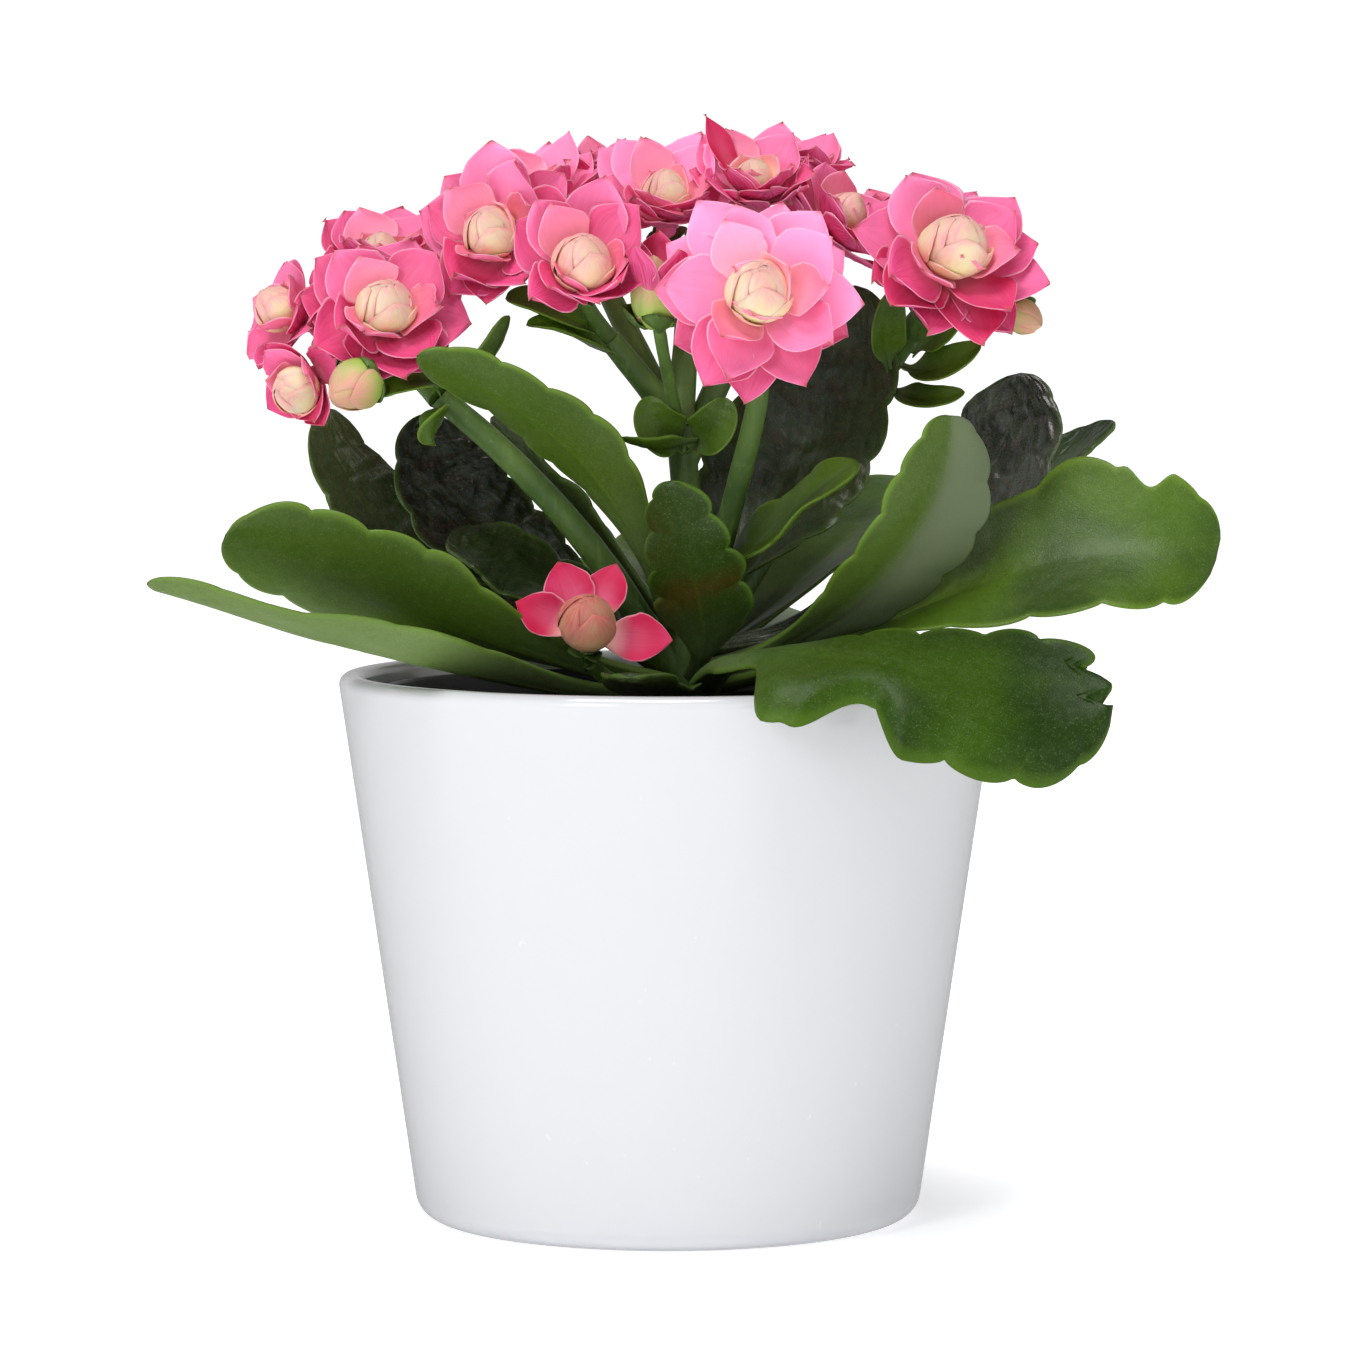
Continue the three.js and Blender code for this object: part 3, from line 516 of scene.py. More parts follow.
# soil: a crumbly bed with loose crumbs on it
soilBed = {
    "top": 59.6, "dip": 1.5, "dome": 0.5, "radius": 31.6, "foot": 23.5, "low": 5.6, "rings": 24,
    "steps": 96, "sharpOver": 60, "lumps": 0.9, "crumb": 0.9, "crumbsPerSquareMetre": 260000.0,
}


def soilPaint():
    paint = Paint("pottingSoil", IOR=1.4)
    grain = paint.grain(700.0, 6.0, 0.7)
    fibre = paint.between(paint.grain(260.0, 3.0, 0.6, 1.2), 0.56, 0.72)
    earth = paint.colour(grain, (0.006, 0.0045, 0.0035), (0.045, 0.03, 0.02))
    earth = paint.colour(fibre * 0.6, earth, (0.11, 0.07, 0.035))
    return paint.finish(earth, 0.92, grain, 0.5 * mm, 0.8)


def soilTree():
    s = soilBed
    sheet = Grower("soilBed", Lumps=s["lumps"] * mm, Crumbs=s["crumbsPerSquareMetre"],
                   CrumbSize=s["crumb"] * mm, Seed=4)
    place = sheet.add("GeometryNodeInputPosition")
    height = place.of("DOT_PRODUCT", (0, 0, 1))
    skin = sheet.between(height, (s["top"] - 2.5) * mm, (s["top"] - 1) * mm)
    lift = sheet.vector(0.0, 0.0, (sheet.noise(place, 150.0, 3.0) - 0.5) * skin * sheet["Lumps"])
    rough = sheet.add("GeometryNodeSetPosition", {"Geometry": sheet.entry, "Offset": lift})
    onTop = height.of("GREATER_THAN", (s["top"] - 1.2) * mm)
    wires = {"Mesh": rough, "Selection": onTop, "Density": sheet["Crumbs"], "Seed": sheet["Seed"]}
    spots = sheet.add("GeometryNodeDistributePointsOnFaces", wires)
    crumb = sheet.add("GeometryNodeMeshIcoSphere", {"Radius": 1.0, "Subdivisions": 2})
    shape = sheet.noise(place, 1.3, 2.0) * 0.9 + 0.45
    crumb = sheet.add("GeometryNodeSetPosition", {"Geometry": crumb, "Position": place * shape})
    size = sheet.add("FunctionNodeRandomValue", {2: 0.25, 3: 1.0}, 1, data_type="FLOAT")
    wires = {0: (0, 0, 0), 1: (6.28, 6.28, 6.28)}
    turn = sheet.add("FunctionNodeRandomValue", wires, data_type="FLOAT_VECTOR")
    wires = {"Points": spots, "Instance": crumb, "Rotation": turn, "Scale": size * sheet["CrumbSize"]}
    crumbs = sheet.add("GeometryNodeInstanceOnPoints", wires)
    both = sheet.add("GeometryNodeJoinGeometry")
    for part in (crumbs, rough):
        sheet.tree.links.new(part.socket, both.socket.node.inputs[0])
    return sheet.close(both)


def makeSoil():
    s = soilBed
    rows = [(0, s["low"]), (s["foot"], s["low"]), (s["radius"], s["top"] - s["dip"])]
    for k in range(1, s["rings"]):
        share = 1 - k / s["rings"]
        rise = s["dome"] + (s["dip"] + s["dome"]) * -(share ** 6)
        rows.append((s["radius"] * share, s["top"] + rise))
    rows.append((0, s["top"] + s["dome"]))
    bed = turned("soilBody", rows, s["steps"], s["sharpOver"])
    soilTree().grow(bed, Finish=soilPaint())
    dress(bed, "soil", "soil")


makeSoil()
print("soil ready")


# leaves: a closed rod flattened along a curved midrib, with scalloped margins
leafShape = {
    "rows": 132, "around": 44, "tipCrowd": 0.3, "thick": 1.2, "thinEdge": 0.25,
    "petioleShare": 0.24, "petioleWidth": 0.2, "scallopsFrom": 0.3, "scallopsTo": 0.97, "cup": 0.12,
    "fold": 0.1, "wave": 0.5, "gutter": 0.22, "gutterFrom": 0.3, "gutterTo": 0.65, "blunt": 2.3,
    "crumple": 0.25, "groove": 0.3, "teeth": 7.8, "tornFrom": 0.68,
}

# midrib, way the upper face looks at base and at tip, half width, share of the length where the
# leaf is widest, scallops on a side, kind of paint
leaves = {
    "rim_left": ([(-1, -5, 63.8), (-24, -22.5, 68.4), (-44, -32, 74.2), (-60.2, -36, 79.6)],
                 (0, 0.15, 1), (-0.1, 0.2, 0.97), 6.4, 0.45, 4, "pale"),
    "broad_left": ([(-1, -4, 65.4), (-20, -15, 71.4), (-37, -21, 78.2), (-52, -25, 84.5)],
                   (0, 0.4, 0.9), (-0.15, 0.75, 0.65), 9.2, 0.6, 5, "green"),
    "folded_back_left": ([(-1, 4, 65), (-20, 8, 72), (-35.5, 13, 84), (-42.5, 20, 98)],
                         (0, -0.2, 1), (0.25, -0.8, 0.5), 5.6, 0.55, 4, "dusky"),
    "dark_left": ([(0, 2, 68.5), (-13.5, 5, 75.4), (-25.2, 8, 86), (-28.6, 10, 97.6)],
                  (0, -0.4, 0.9), (0.15, -0.95, 0.3), 7.4, 0.55, 5, "dark"),
    "inner_left": ([(0, -1, 66.5), (-9, -2.5, 72.5), (-18, -3, 78.5), (-26.8, -3, 82.8)],
                   (0, -0.3, 0.95), (0.2, -0.6, 0.77), 6.6, 0.55, 4, "dusky"),
    "long_left": ([(0, -3, 72), (-6.6, -13, 88.8), (-16.5, -17.5, 98.6), (-29.6, -20, 105.5)],
                  (0.3, 0.6, 0.7), (0.35, 0.8, 0.5), 5.4, 0.45, 5, "green"),
    "front_curled": ([(3, -5, 66.2), (4.2, -13.5, 73.8), (2.4, -19, 82.2), (0.4, -23, 90.8)],
                     (0, 0.7, 0.7), (0.25, 0.86, 0.45), 6, 0.38, 4, "blushed"),
    "slim_left": ([(1, -1, 72), (-8, 1, 82), (-15, 2, 90), (-21.5, 3, 97.5)],
                  (0.4, 0, 0.9), (0.65, 0.3, 0.7), 5, 0.5, 4, "dusky"),
    "tall_centre": ([(4, 2, 73), (11, 6, 84), (18.6, 8, 97.5), (23, 8, 113.4)],
                    (-0.2, -0.7, 0.6), (-0.2, -0.95, 0.2), 10.2, 0.45, 5, "shaded"),
    "folded_centre": ([(4, -3, 72.5), (8.5, -6.5, 79), (15, -9.5, 86), (23, -11, 92.3)],
                      (-0.1, -0.3, 0.9), (-0.3, -0.35, 0.9), 5.6, 0.5, 4, "green"),
    "upright_right": ([(5, -3, 67.5), (20.5, -12.5, 75.2), (30.4, -17, 86.6), (33.4, -16, 98.2)],
                      (-0.2, 0.5, 0.8), (-0.35, 0.85, 0.3), 7.4, 0.55, 5, "silver"),
    "dark_right": ([(5, 2, 69), (24, 6, 74.2), (38.5, 10, 86.4), (43.4, 12, 102.6)],
                   (-0.1, -0.4, 0.9), (-0.5, -0.75, 0.4), 9, 0.66, 5, "grey"),
    "small_back_right": ([(5, 5, 66), (24, 13, 74), (41, 21, 84.5), (56, 28, 96.2)],
                         (-0.1, -0.2, 0.95), (-0.5, -0.3, 0.8), 5.5, 0.6, 4, "dusky"),
    "broad_right": ([(5, -1, 65), (24, -9, 71.8), (45.5, -14, 80.5), (65.4, -15, 81)],
                    (0, -0.25, 0.95), (-0.1, -0.85, 0.5), 10.4, 0.7, 5, "green"),
    "rim_right": ([(4, -5, 64.4), (14.5, -34, 71), (33.5, -38.3, 68.2), (51.5, -38.5, 65.6)],
                  (0, -0.15, 0.97), (0.15, -0.8, 0.58), 11, 0.45, 5, "glossy"),
    "small_front": ([(1, -3, 61.9), (-0.6, -13, 63.6), (-2.4, -23, 65.6), (-4.4, -33, 68.4)],
                    (0, -0.1, 1), (0, -0.3, 0.95), 5.6, 0.55, 4, "dusky"),
    "back_centre": ([(2, 4, 66), (2, 18, 72.5), (2, 31, 78.5), (1, 44, 81)],
                    (0, -0.2, 0.95), (0, -0.4, 0.9), 9, 0.6, 5, "green"),
    "back_right": ([(5, 4, 67.5), (15, 16, 75), (25, 29, 83), (33, 41, 88)],
                   (0, -0.2, 0.95), (-0.3, -0.4, 0.85), 8.6, 0.6, 5, "green"),
    "back_left": ([(-1, 4, 68), (-9, 16, 72.5), (-17, 28, 75.5), (-25, 39, 77)],
                  (0, -0.2, 0.95), (0.2, -0.4, 0.9), 8, 0.58, 5, "green"),
    "rim_back": ([(3, 3, 63.6), (9, 19, 68), (15.5, 35, 70.2), (21, 50, 69)],
                 (0, 0, 1), (0, -0.05, 1), 8, 0.6, 5, "green"),
}

# how some leaves differ: a lobe is its place along the leaf, its depth and its reach, which is
# negative on the half that lies on the other side of the midrib
leafHabits = {
    "rim_left": {"Blunt": 1.4}, "broad_left": {"Gutter": 0.0}, "long_left": {"Gutter": 0.0},
    "dark_left": {"Crumple": 1.5 * mm, "Grit": 430.0, "Around": 68},
    "dark_right": {"Crumple": 1.5 * mm, "Grit": 380.0, "Around": 68},
    "tall_centre": {"Crumple": 0.9 * mm, "Grit": 460.0, "Around": 68},
    "folded_back_left": {"Crumple": 0.8 * mm, "Grit": 400.0},
    "inner_left": {"Crumple": 1.0 * mm, "Grit": 340.0, "Around": 60},
    "small_back_right": {"Crumple": 0.9 * mm, "Grit": 400.0},
    "upright_right": {"Gutter": 0.0, "Fold": -0.35},
    "broad_right": {"Blunt": 3.2, "LobeA": (0.74, 0.22, -0.12), "LobeB": (0.86, -0.26, -0.04)},
    "rim_right": {"Cup": -0.05, "Fold": 0.0, "Gutter": 0.0, "Hang": 0.25, "Blunt": 4.5, "Fray": 3.6 * mm,
                  "LobeA": (0.28, -0.6, 0.09), "LobeB": (0.36, 0.2, 0.1), "LobeC": (0.5, -0.5, 0.09),
                  "LobeD": (0.8, 0.1, 0.2), "LobeE": (0.42, -0.4, -0.36)},
    "front_curled": {"Gutter": 0.0, "Notch": 0.24},
}

# upper face, its dark parts, underside, margin, strength of the grey sheen and of the gloss
leafTones = {
    "green": ((0.068, 0.138, 0.006), (0.026, 0.062, 0.003), (0.044, 0.078, 0.009), (0.15, 0.27, 0.02),
              0.0, 0.3),
    "glossy": ((0.034, 0.08, 0.001), (0.012, 0.034, 0.001), (0.044, 0.078, 0.009), (0.08, 0.16, 0.01),
               0.0, 0.16),
    "dusky": ((0.03, 0.055, 0.009), (0.01, 0.022, 0.004), (0.05, 0.078, 0.018), (0.08, 0.15, 0.015),
              0.35, 0.35),
    "dark": ((0.009, 0.02, 0.004), (0.002, 0.006, 0.001), (0.02, 0.04, 0.008), (0.07, 0.14, 0.015),
             0.6, 0.4),
    "shaded": ((0.024, 0.06, 0.007), (0.006, 0.017, 0.002), (0.02, 0.04, 0.008), (0.08, 0.17, 0.015),
               0.7, 0.5),
    # the grey kind's upper face is painted grey over the leaf's dark green, a painted sheen
    "grey": ((0.05, 0.056, 0.044), (0.01, 0.013, 0.009), (0.02, 0.04, 0.008), (0.07, 0.12, 0.03),
             1.1, 0.75),
    "pale": ((0.07, 0.13, 0.012), (0.04, 0.08, 0.008), (0.165, 0.235, 0.085), (0.14, 0.25, 0.03),
             0.0, 0.3),
    "blushed": ((0.028, 0.062, 0.004), (0.012, 0.03, 0.002), (0.02, 0.046, 0.003), (0.1, 0.22, 0.012),
                0.0, 0.3),
    "silver": ((0.055, 0.105, 0.007), (0.03, 0.065, 0.004), (0.088, 0.15, 0.022), (0.16, 0.3, 0.025),
               0.0, 0.3),
}


def leafPaint(kind):
    upper, deep, under, margin, sheen, gloss = leafTones[kind]
    paint = Paint("leaf_" + kind, IOR=1.45, Specular_IOR_Level=gloss)
    along, across, face = paint.numbers("along", "across", "upper")
    side = abs(across)
    cloud = paint.grain(60.0, 3.0)
    sparkle = paint.grain(4800.0, 2.0, 0.6)
    mottle = paint.grain(950.0, 3.0, 0.6)
    if sheen:
        # ripples that run across the blade
        ripples = paint.vector(across * 2.6 + along * 3, along * 9, cloud)
        crinkle = paint.noise(ripples, 2.0, 1.0, 0.4, 0.35)
    else:
        crinkle = paint.grain(480.0, 2.0, 0.45, 0.4)
    rib = paint.between(side, 0.07, 0.0) * paint.between(along, 0.85, 0.2)
    rim = paint.between(side + paint.grain(160.0) * 0.08, 0.9, 1.04)
    skin = paint.colour(paint.between(cloud, 0.36, 0.64), deep, upper)
    skin = paint.colour(paint.between(face, -0.12, 0.12), paint.colour(cloud, under, upper), skin)
    skin = paint.coats(
        skin,
        # paler towards the base: partly the leaf's own pale base, partly a painted sheen there
        (paint.between(along, 0.45, 0.1) * 0.55, (0.15, 0.22, 0.085)),
        (rib * 0.2, margin),
        (paint.between(mottle, 0.42, 0.68, 0.0, 0.06), (0.15, 0.22, 0.07)),
        (paint.between(mottle, 0.5, 0.3, 0.0, 0.14), deep),
        # pale specks on the grain are painted glints
        (paint.between(sparkle, 0.56, 0.76, 0.0, 0.3), (0.22, 0.3, 0.14)),
        (paint.between(sparkle, 0.5, 0.3, 0.0, 0.3), deep),
        (rim * 0.55, margin),
        # grey painted on the crinkle ridges is a painted sheen
        (paint.between(crinkle, 0.44, 0.72) * (sheen * 0.16), (0.15, 0.185, 0.12)),
    )
    if kind == "silver":
        # one half of the blade painted pale grey-green: a painted sheen
        skin = paint.colour(paint.between(across, 0.25, -0.2) * 0.85, skin, (0.125, 0.156, 0.085))
    if kind == "blushed":
        blush = paint.between(along, 0.6, 0.45) * paint.between(cloud, 0.45, 0.62)
        skin = paint.colour(blush * 0.5, skin, (0.16, 0.02, 0.01))
    rough = (0.27 - sheen * 0.06) + sparkle * 0.16
    height = crinkle * (0.16 + sheen * 0.9) + sparkle * 0.09 + mottle * 0.04 + cloud * 0.5
    return paint.finish(skin, rough, height, 0.8 * mm, 0.55)


def bladePlace(sheet, t):
    # middle of a leaf at the share t of its midrib, the way ahead there, and the ways up and aside
    p = [sheet[label] for label in ("Root", "Near", "Far", "Tip")]
    u = 1 - t
    centre = (p[0] * (u * u * u) + p[1] * (u * u * t * 3)) + (p[2] * (u * t * t * 3) + p[3] * (t * t * t))
    slope = (p[1] - p[0]) * (u * u) + (p[2] - p[1]) * (u * t * 2) + (p[3] - p[2]) * (t * t)
    ahead = slope.of("NORMALIZE")
    way = sheet["UpBase"] * u + sheet["UpTip"] * t
    up = (way - ahead * ahead.of("DOT_PRODUCT", way)).of("NORMALIZE")
    return centre, ahead, up, ahead.of("CROSS_PRODUCT", up)


lobeLabels = ["Lobe" + letter for letter in "ABCDE"]


def leafCut(sheet, t, s):
    # share of the half width that the scallops and lobes leave
    a = leafShape
    phase = (t - a["scallopsFrom"]) / (a["scallopsTo"] - a["scallopsFrom"]) * sheet["Scallops"]
    lobe = abs(((phase + s * 0.2 + sheet["Shift"]) * math.pi).of("SINE")) ** 0.6
    mask = sheet.between(t, a["scallopsFrom"] - 0.04, a["scallopsFrom"] + 0.08)
    cut = 1 + mask * (lobe - 0.8) * sheet["Notch"]
    for label in lobeLabels:
        middle = sheet.add("ShaderNodeSeparateXYZ", {0: sheet[label]})
        depth, reach = middle.also("Y"), middle.also("Z")
        away = (t - middle) / reach
        swell = (1 - away * away).atLeast(0.0)
        cut = cut + (s * reach).of("GREATER_THAN", 0.0) * depth * swell * swell
    return cut


def leafTree():
    a = leafShape
    ways = dict.fromkeys(("Root", "Near", "Far", "Tip", "UpBase", "UpTip"), (0.0, 0.0, 0.0))
    lobes = dict.fromkeys(lobeLabels, (0.5, 0.0, 1.0))
    sheet = Grower("leafBlade", **ways, Half=0.008, Widest=0.5, Scallops=5.0, Notch=0.13, Cup=a["cup"],
                   Fold=a["fold"], Gutter=a["gutter"], Hang=0.0, Blunt=a["blunt"], Fray=0.0, **lobes,
                   Wave=a["wave"] * mm, Crumple=a["crumple"] * mm, Grit=190.0, Thick=a["thick"] * mm,
                   Shift=0.0, Rows=a["rows"], Around=a["around"])
    rod, lin, s, y = sheet.rod()
    # rows lie closer together towards the tip
    t = lin * ((1 + a["tipCrowd"]) - lin * a["tipCrowd"])
    centre, ahead, up, side = bladePlace(sheet, t)
    widest = sheet["Widest"]
    stalk = sheet.between(t, a["petioleShare"] * 0.4, widest, a["petioleWidth"], 1.0)
    past = ((t - widest) / (1 - widest)).atLeast(0.0).atMost(1.0)
    outline = stalk * (1 - past ** sheet["Blunt"]).atLeast(0.0) ** 0.5
    half = sheet["Half"] * outline * leafCut(sheet, t, s)
    # the blade's bend across, its ripples along the margin and its crumpled skin
    gutter = sheet.between(t, a["gutterFrom"], a["gutterTo"], 1.0, 0.0) * sheet["Gutter"]
    bend = (sheet["Fold"] + gutter) * (s * s + 0.01) ** 0.5
    lift = half * (sheet["Cup"] * s * s + bend - sheet["Hang"] * s.atLeast(0.0) ** 4)
    ripple = (t * 17 + s * 1.3 + sheet["Shift"]).of("SINE")
    lift = lift + sheet["Wave"] * ripple * s * s * sheet.between(t, 0.2, 0.5)
    folds = sheet.vector(s * sheet["Half"] * 0.7, t * 0.042, sheet["Half"])
    rough = sheet.noise(folds, sheet["Grit"], 2.0, 0.5, 0.5) - 0.5
    lift = lift + sheet["Crumple"] * rough * sheet.between(t, 0.15, 0.4)
    # its thickness, which fades at the margin, with a groove along the midrib
    groove = sheet.between(abs(s), 0.12, 0.0) * sheet.between(t, 0.95, 0.3) * (a["groove"] * mm)
    tender = (half / (1.6 * mm)).atMost(1.0)
    thick = sheet["Thick"] * tender * sheet.between(t, 0.0, a["petioleShare"] * 1.3, 1.7, 1.0)
    edge = 1 - sheet.between(abs(s), 0.5, 1.0) * a["thinEdge"]
    skin = y.of("SIGN") * abs(y) ** 0.5 * thick * edge * 0.5 - groove
    # torn teeth at the tip
    tooth = 1 - abs((s * outline * a["teeth"] + 0.5).of("SINE")) ** 0.6
    torn = sheet["Fray"] * tooth * sheet.between(t, a["tornFrom"], 1.0) * sheet.between(s, 0.5, 0.1)
    place = centre + side * (half * s) + up * (lift + skin) - ahead * torn
    return sheet.put(sheet.keep(rod, along=t, across=s, upper=y), place)


leafBlade = leafTree()


def growLeaf(name, midrib, upBase, upTip, half, widest, finish, **habits):
    root, near, far, tip = (tuple(p) for p in controlPoints(midrib))
    shape = dict(Root=root, Near=near, Far=far, Tip=tip, UpBase=upBase, UpTip=upTip,
                 Half=half * mm, Widest=widest, Finish=finish)
    return leafBlade.grow(newThing(name), **shape, **habits)


def makeLeaves():
    finishes = {kind: leafPaint(kind) for kind in leafTones}
    for order, (name, leaf) in enumerate(leaves.items()):
        midrib, upBase, upTip, half, widest, scallops, kind = leaf
        blade = growLeaf("blade_" + name, midrib, upBase, upTip, half, widest, finishes[kind],
                         Scallops=float(scallops), Shift=(order * 0.37) % 1 * 0.5,
                         **leafHabits.get(name, {}))
        dress(blade, "leaf", "leaf_" + name)
    return finishes


leafFinishes = makeLeaves()
print("leaves ready")


# blooms: layers of petals round a closed heart
# middle of the heart, way it faces, reach, radius and height of the heart, petals by layer, and
# how it differs
blooms = {
    "left_front": ((-33.6, -12, 111.6), (0.1, -0.9, 0.42), 10.6, (3.5, 7), (5, 4, 3),
                   {"lean": -9, "fill": True}),
    "left_side": ((-47.4, -5, 111.2), (-0.75, -0.5, 0.42), 8.4, (2.9, 6), (5, 3, 0), {"lean": -10}),
    "left_top": ((-34.8, 1, 118), (0, -0.45, 0.89), 9.6, (2.7, 5), (5, 4, 0), {"lean": -26, "crown": 0.1}),
    "left_low": ((-45, -10, 101), (-0.5, -0.75, -0.35), 7, (2.9, 6), (4, 2, 0), {"lean": -24, "lilac": -0.3}),
    "middle_left": ((-21.3, -9, 120.4), (-0.35, -0.85, 0.35), 10.4, (3.4, 7), (5, 4, 2),
                    {"lean": -14, "crown": 0.15, "fill": True}),
    "middle_front": ((-10, -18, 117), (0, -0.88, 0.45), 9.2, (3.6, 7.6), (5, 4, 0),
                     {"lean": -24, "crown": 0.38, "lilac": -0.05}),
    "middle_top": ((-15.8, 2, 125.2), (-0.25, -0.35, 0.9), 9.2, (2.3, 4.4), (5, 4, 0),
                   {"lean": -30, "lilac": 0.35, "crown": 0.3, "fill": True}),
    "middle_back": ((-7.4, 9.5, 127.2), (0.1, -0.1, 0.98), 8, (2.2, 4), (5, 3, 0),
                    {"lean": -34, "crown": 0.3, "fill": True}),
    "centre_left": ((-0.2, -5, 125.4), (0, -0.62, 0.78), 9, (2.8, 5.6), (5, 4, 0),
                    {"lean": -20, "lilac": 0.45, "crown": 0.36, "fill": True}),
    "centre_front": ((10.8, -26, 113.6), (0, -0.96, 0.27), 12.4, (3.9, 8), (6, 5, 3),
                     {"lilac": 0.75, "fill": True, "slim": 0.8, "bow": 0, "crown": 0.06}),
    "centre_top": ((10.4, -4, 127), (0, -0.55, 0.83), 8.4, (2.4, 4.6), (5, 4, 0),
                   {"lean": -26, "crown": 0.27, "fill": True, "extra": [(2.5, 11.4, 1.5, 48, 26, 1.0)]}),
    "centre_back": ((15.6, 6, 127.6), (0.15, -0.15, 0.97), 8.6, (2.2, 4), (5, 3, 0),
                    {"lean": -34, "crown": 0.35, "fill": True}),
    "centre_right": ((21.8, -4, 122.6), (0.6, -0.35, 0.72), 8.6, (2.7, 5.6), (5, 4, 0),
                     {"lean": -18, "crown": 0.25, "fill": True}),
    "right_front": ((34.5, -12, 119), (0.25, -0.75, 0.6), 12.4, (4.3, 8), (6, 4, 3),
                    {"lean": -8, "fill": True, "slim": 0.9, "bow": 0}),
    "right_back": ((27.4, 6, 122.8), (-0.2, 0, 0.98), 7.4, (2.2, 4), (5, 3, 0),
                   {"lean": -32, "crown": 0.3}),
    "low_front": ((-9.5, -23, 74.6), (0, -0.9, 0.42), 9.6, (3.6, 8), (4, 0, 0),
                  {"turns": (-0.12, 1.2, 1.95, 2.72), "slim": 0.7, "deep": 1.3, "lilac": -0.3, "bare": 0.9,
                   "full": False}),
    "back_left": ((-37, 16, 112), (-0.3, 0.8, 0.5), 7.6, (2.8, 5.8), (5, 3, 0), {"lean": -16}),
    "back_right": ((4.4, 14, 126), (0.05, 0.45, 0.89), 8.2, (2.6, 5.2), (5, 3, 0), {"lean": -30}),
}
petalShape = {"rows": 18, "around": 18, "thick": 0.42, "half": 0.4, "foot": 0.6, "rib": 0.14,
              "notches": 0.24}

# for each layer from outside in: angle from the axis at root and tip, share of reach and of width,
# drop below the heart, share of the lean
petalLayers = [(88, 82, 1.0, 1.0, 1.9, 1.0), (78, 58, 0.9, 0.96, 1.2, 0.8), (72, 22, 0.76, 0.84, 0.5, 0.3)]


# the lit face, the back and the cream of inner petals are each a pair of tones
petalTones = {
    "pinks": ((0.7, 0.045, 0.18), (0.87, 0.12, 0.32)), "backs": ((0.65, 0.045, 0.17), (0.82, 0.15, 0.36)),
    "creams": ((0.95, 0.72, 0.46), (0.95, 0.42, 0.45)), "lilac": (1.0, 0.35, 0.63),
    "deep": (0.6, 0.008, 0.065), "middle": (0.97, 0.36, 0.56), "bare": (0.95, 0.6, 0.52),
    "rim": (0.97, 0.6, 0.7), "tip": (0.6, 0.16, 0.12),
}

heartShape = {"rows": 18, "around": 26, "thick": 0.45}

# skin, tone low on the heart, flush at its edges, share of the low tone
heartTones = {
    "heartCream": ((0.9, 0.7, 0.5), (0.76, 0.76, 0.34), (0.9, 0.36, 0.38), 0.55),
    "heartRosy": ((0.5, 0.3, 0.17), (0.6, 0.42, 0.2), (0.6, 0.12, 0.12), 0.55),
    "budGreen": ((0.62, 0.56, 0.25), (0.34, 0.52, 0.08), (0.8, 0.32, 0.28), 0.95),
}


def petalPaint():
    paint = Paint("petalPink", IOR=1.38, Specular_IOR_Level=0.25, Subsurface_Weight=0.1,
                  Subsurface_Scale=0.7 * mm, Emission_Strength=0.2)
    along, across, face = paint.numbers("along", "across", "upper")
    lilac, deep, pale, bare = paint.numbers("lilac", "deep", "pale", "bare")
    tones = petalTones
    streak = paint.noise(paint.vector(across * 7, along * 1.1, lilac * 9 + deep * 5), 1.6, 4.0, 0.6)
    cloud = paint.grain(220.0)
    side = abs(across)
    back = paint.colour(paint.between(streak, 0.3, 0.7), *tones["backs"])
    cream = paint.colour(paint.between(along, 0.3, 0.95), *tones["creams"])
    pink = paint.coats(
        paint.colour(paint.between(streak, 0.15, 0.85), *tones["pinks"]),
        # the lilac coat also paints upper petals lighter and the deep coat paints lower ones darker: painted
        # light from above
        (lilac, tones["lilac"]),
        (deep * paint.between(cloud, 0.2, 0.7, 0.6, 1.0), tones["deep"]),
        (paint.between(side, 0.85, 0.1) * paint.between(along, 0.95, 0.35) * 0.2, tones["middle"]),
        (paint.between(face, 0.15, -0.15), back),
        (paint.between(along, 0.5, 0.12) * bare, tones["bare"]),
        (pale, cream),
        (paint.between(side + streak * 0.04, 0.94, 1.0) * 0.45, tones["rim"]),
        (paint.between(along + streak * 0.05, 0.96, 1.03) * 0.6, tones["tip"]),
    )
    # petals glow a little in their own pink, as much as their lilac share: a painted glow standing in for
    # light that shines through them
    paint.drive("Emission Color", paint.colour(lilac, (0, 0, 0), pink))
    return paint.finish(pink, 0.5 + streak * 0.15, streak, 0.25 * mm, 0.2)


def heartPaint(name, skin, lowTone, flush, lowShare):
    paint = Paint(name, IOR=1.38, Subsurface_Weight=0.25, Subsurface_Scale=1.2 * mm)
    along, across, level = paint.numbers("along", "across", "level")
    streak = paint.noise(paint.vector(across * 4, along * 1.2, level * 2), 2.4, 3.0, 0.6)
    side = abs(across)
    low = paint.between(level, 0.75, 0.15) * lowShare + paint.between(side, 0.5, 0.0) * 0.25
    edge = paint.between(side + streak * 0.08, 0.8, 1.0).atLeast(paint.between(along, 0.86, 1.0))
    colour = paint.coats(
        paint.colour(paint.between(paint.grain(190.0), 0.3, 0.7), skin, flush),
        (low, lowTone),
        (edge * 0.85, flush),
        (paint.between(level, 0.5, 0.95) * 0.4, flush),
        (paint.between(streak, 0.6, 0.4, 0.0, 0.25), lowTone),
    )
    return paint.finish(colour, 0.45 + streak * 0.12, streak, 0.2 * mm, 0.3)


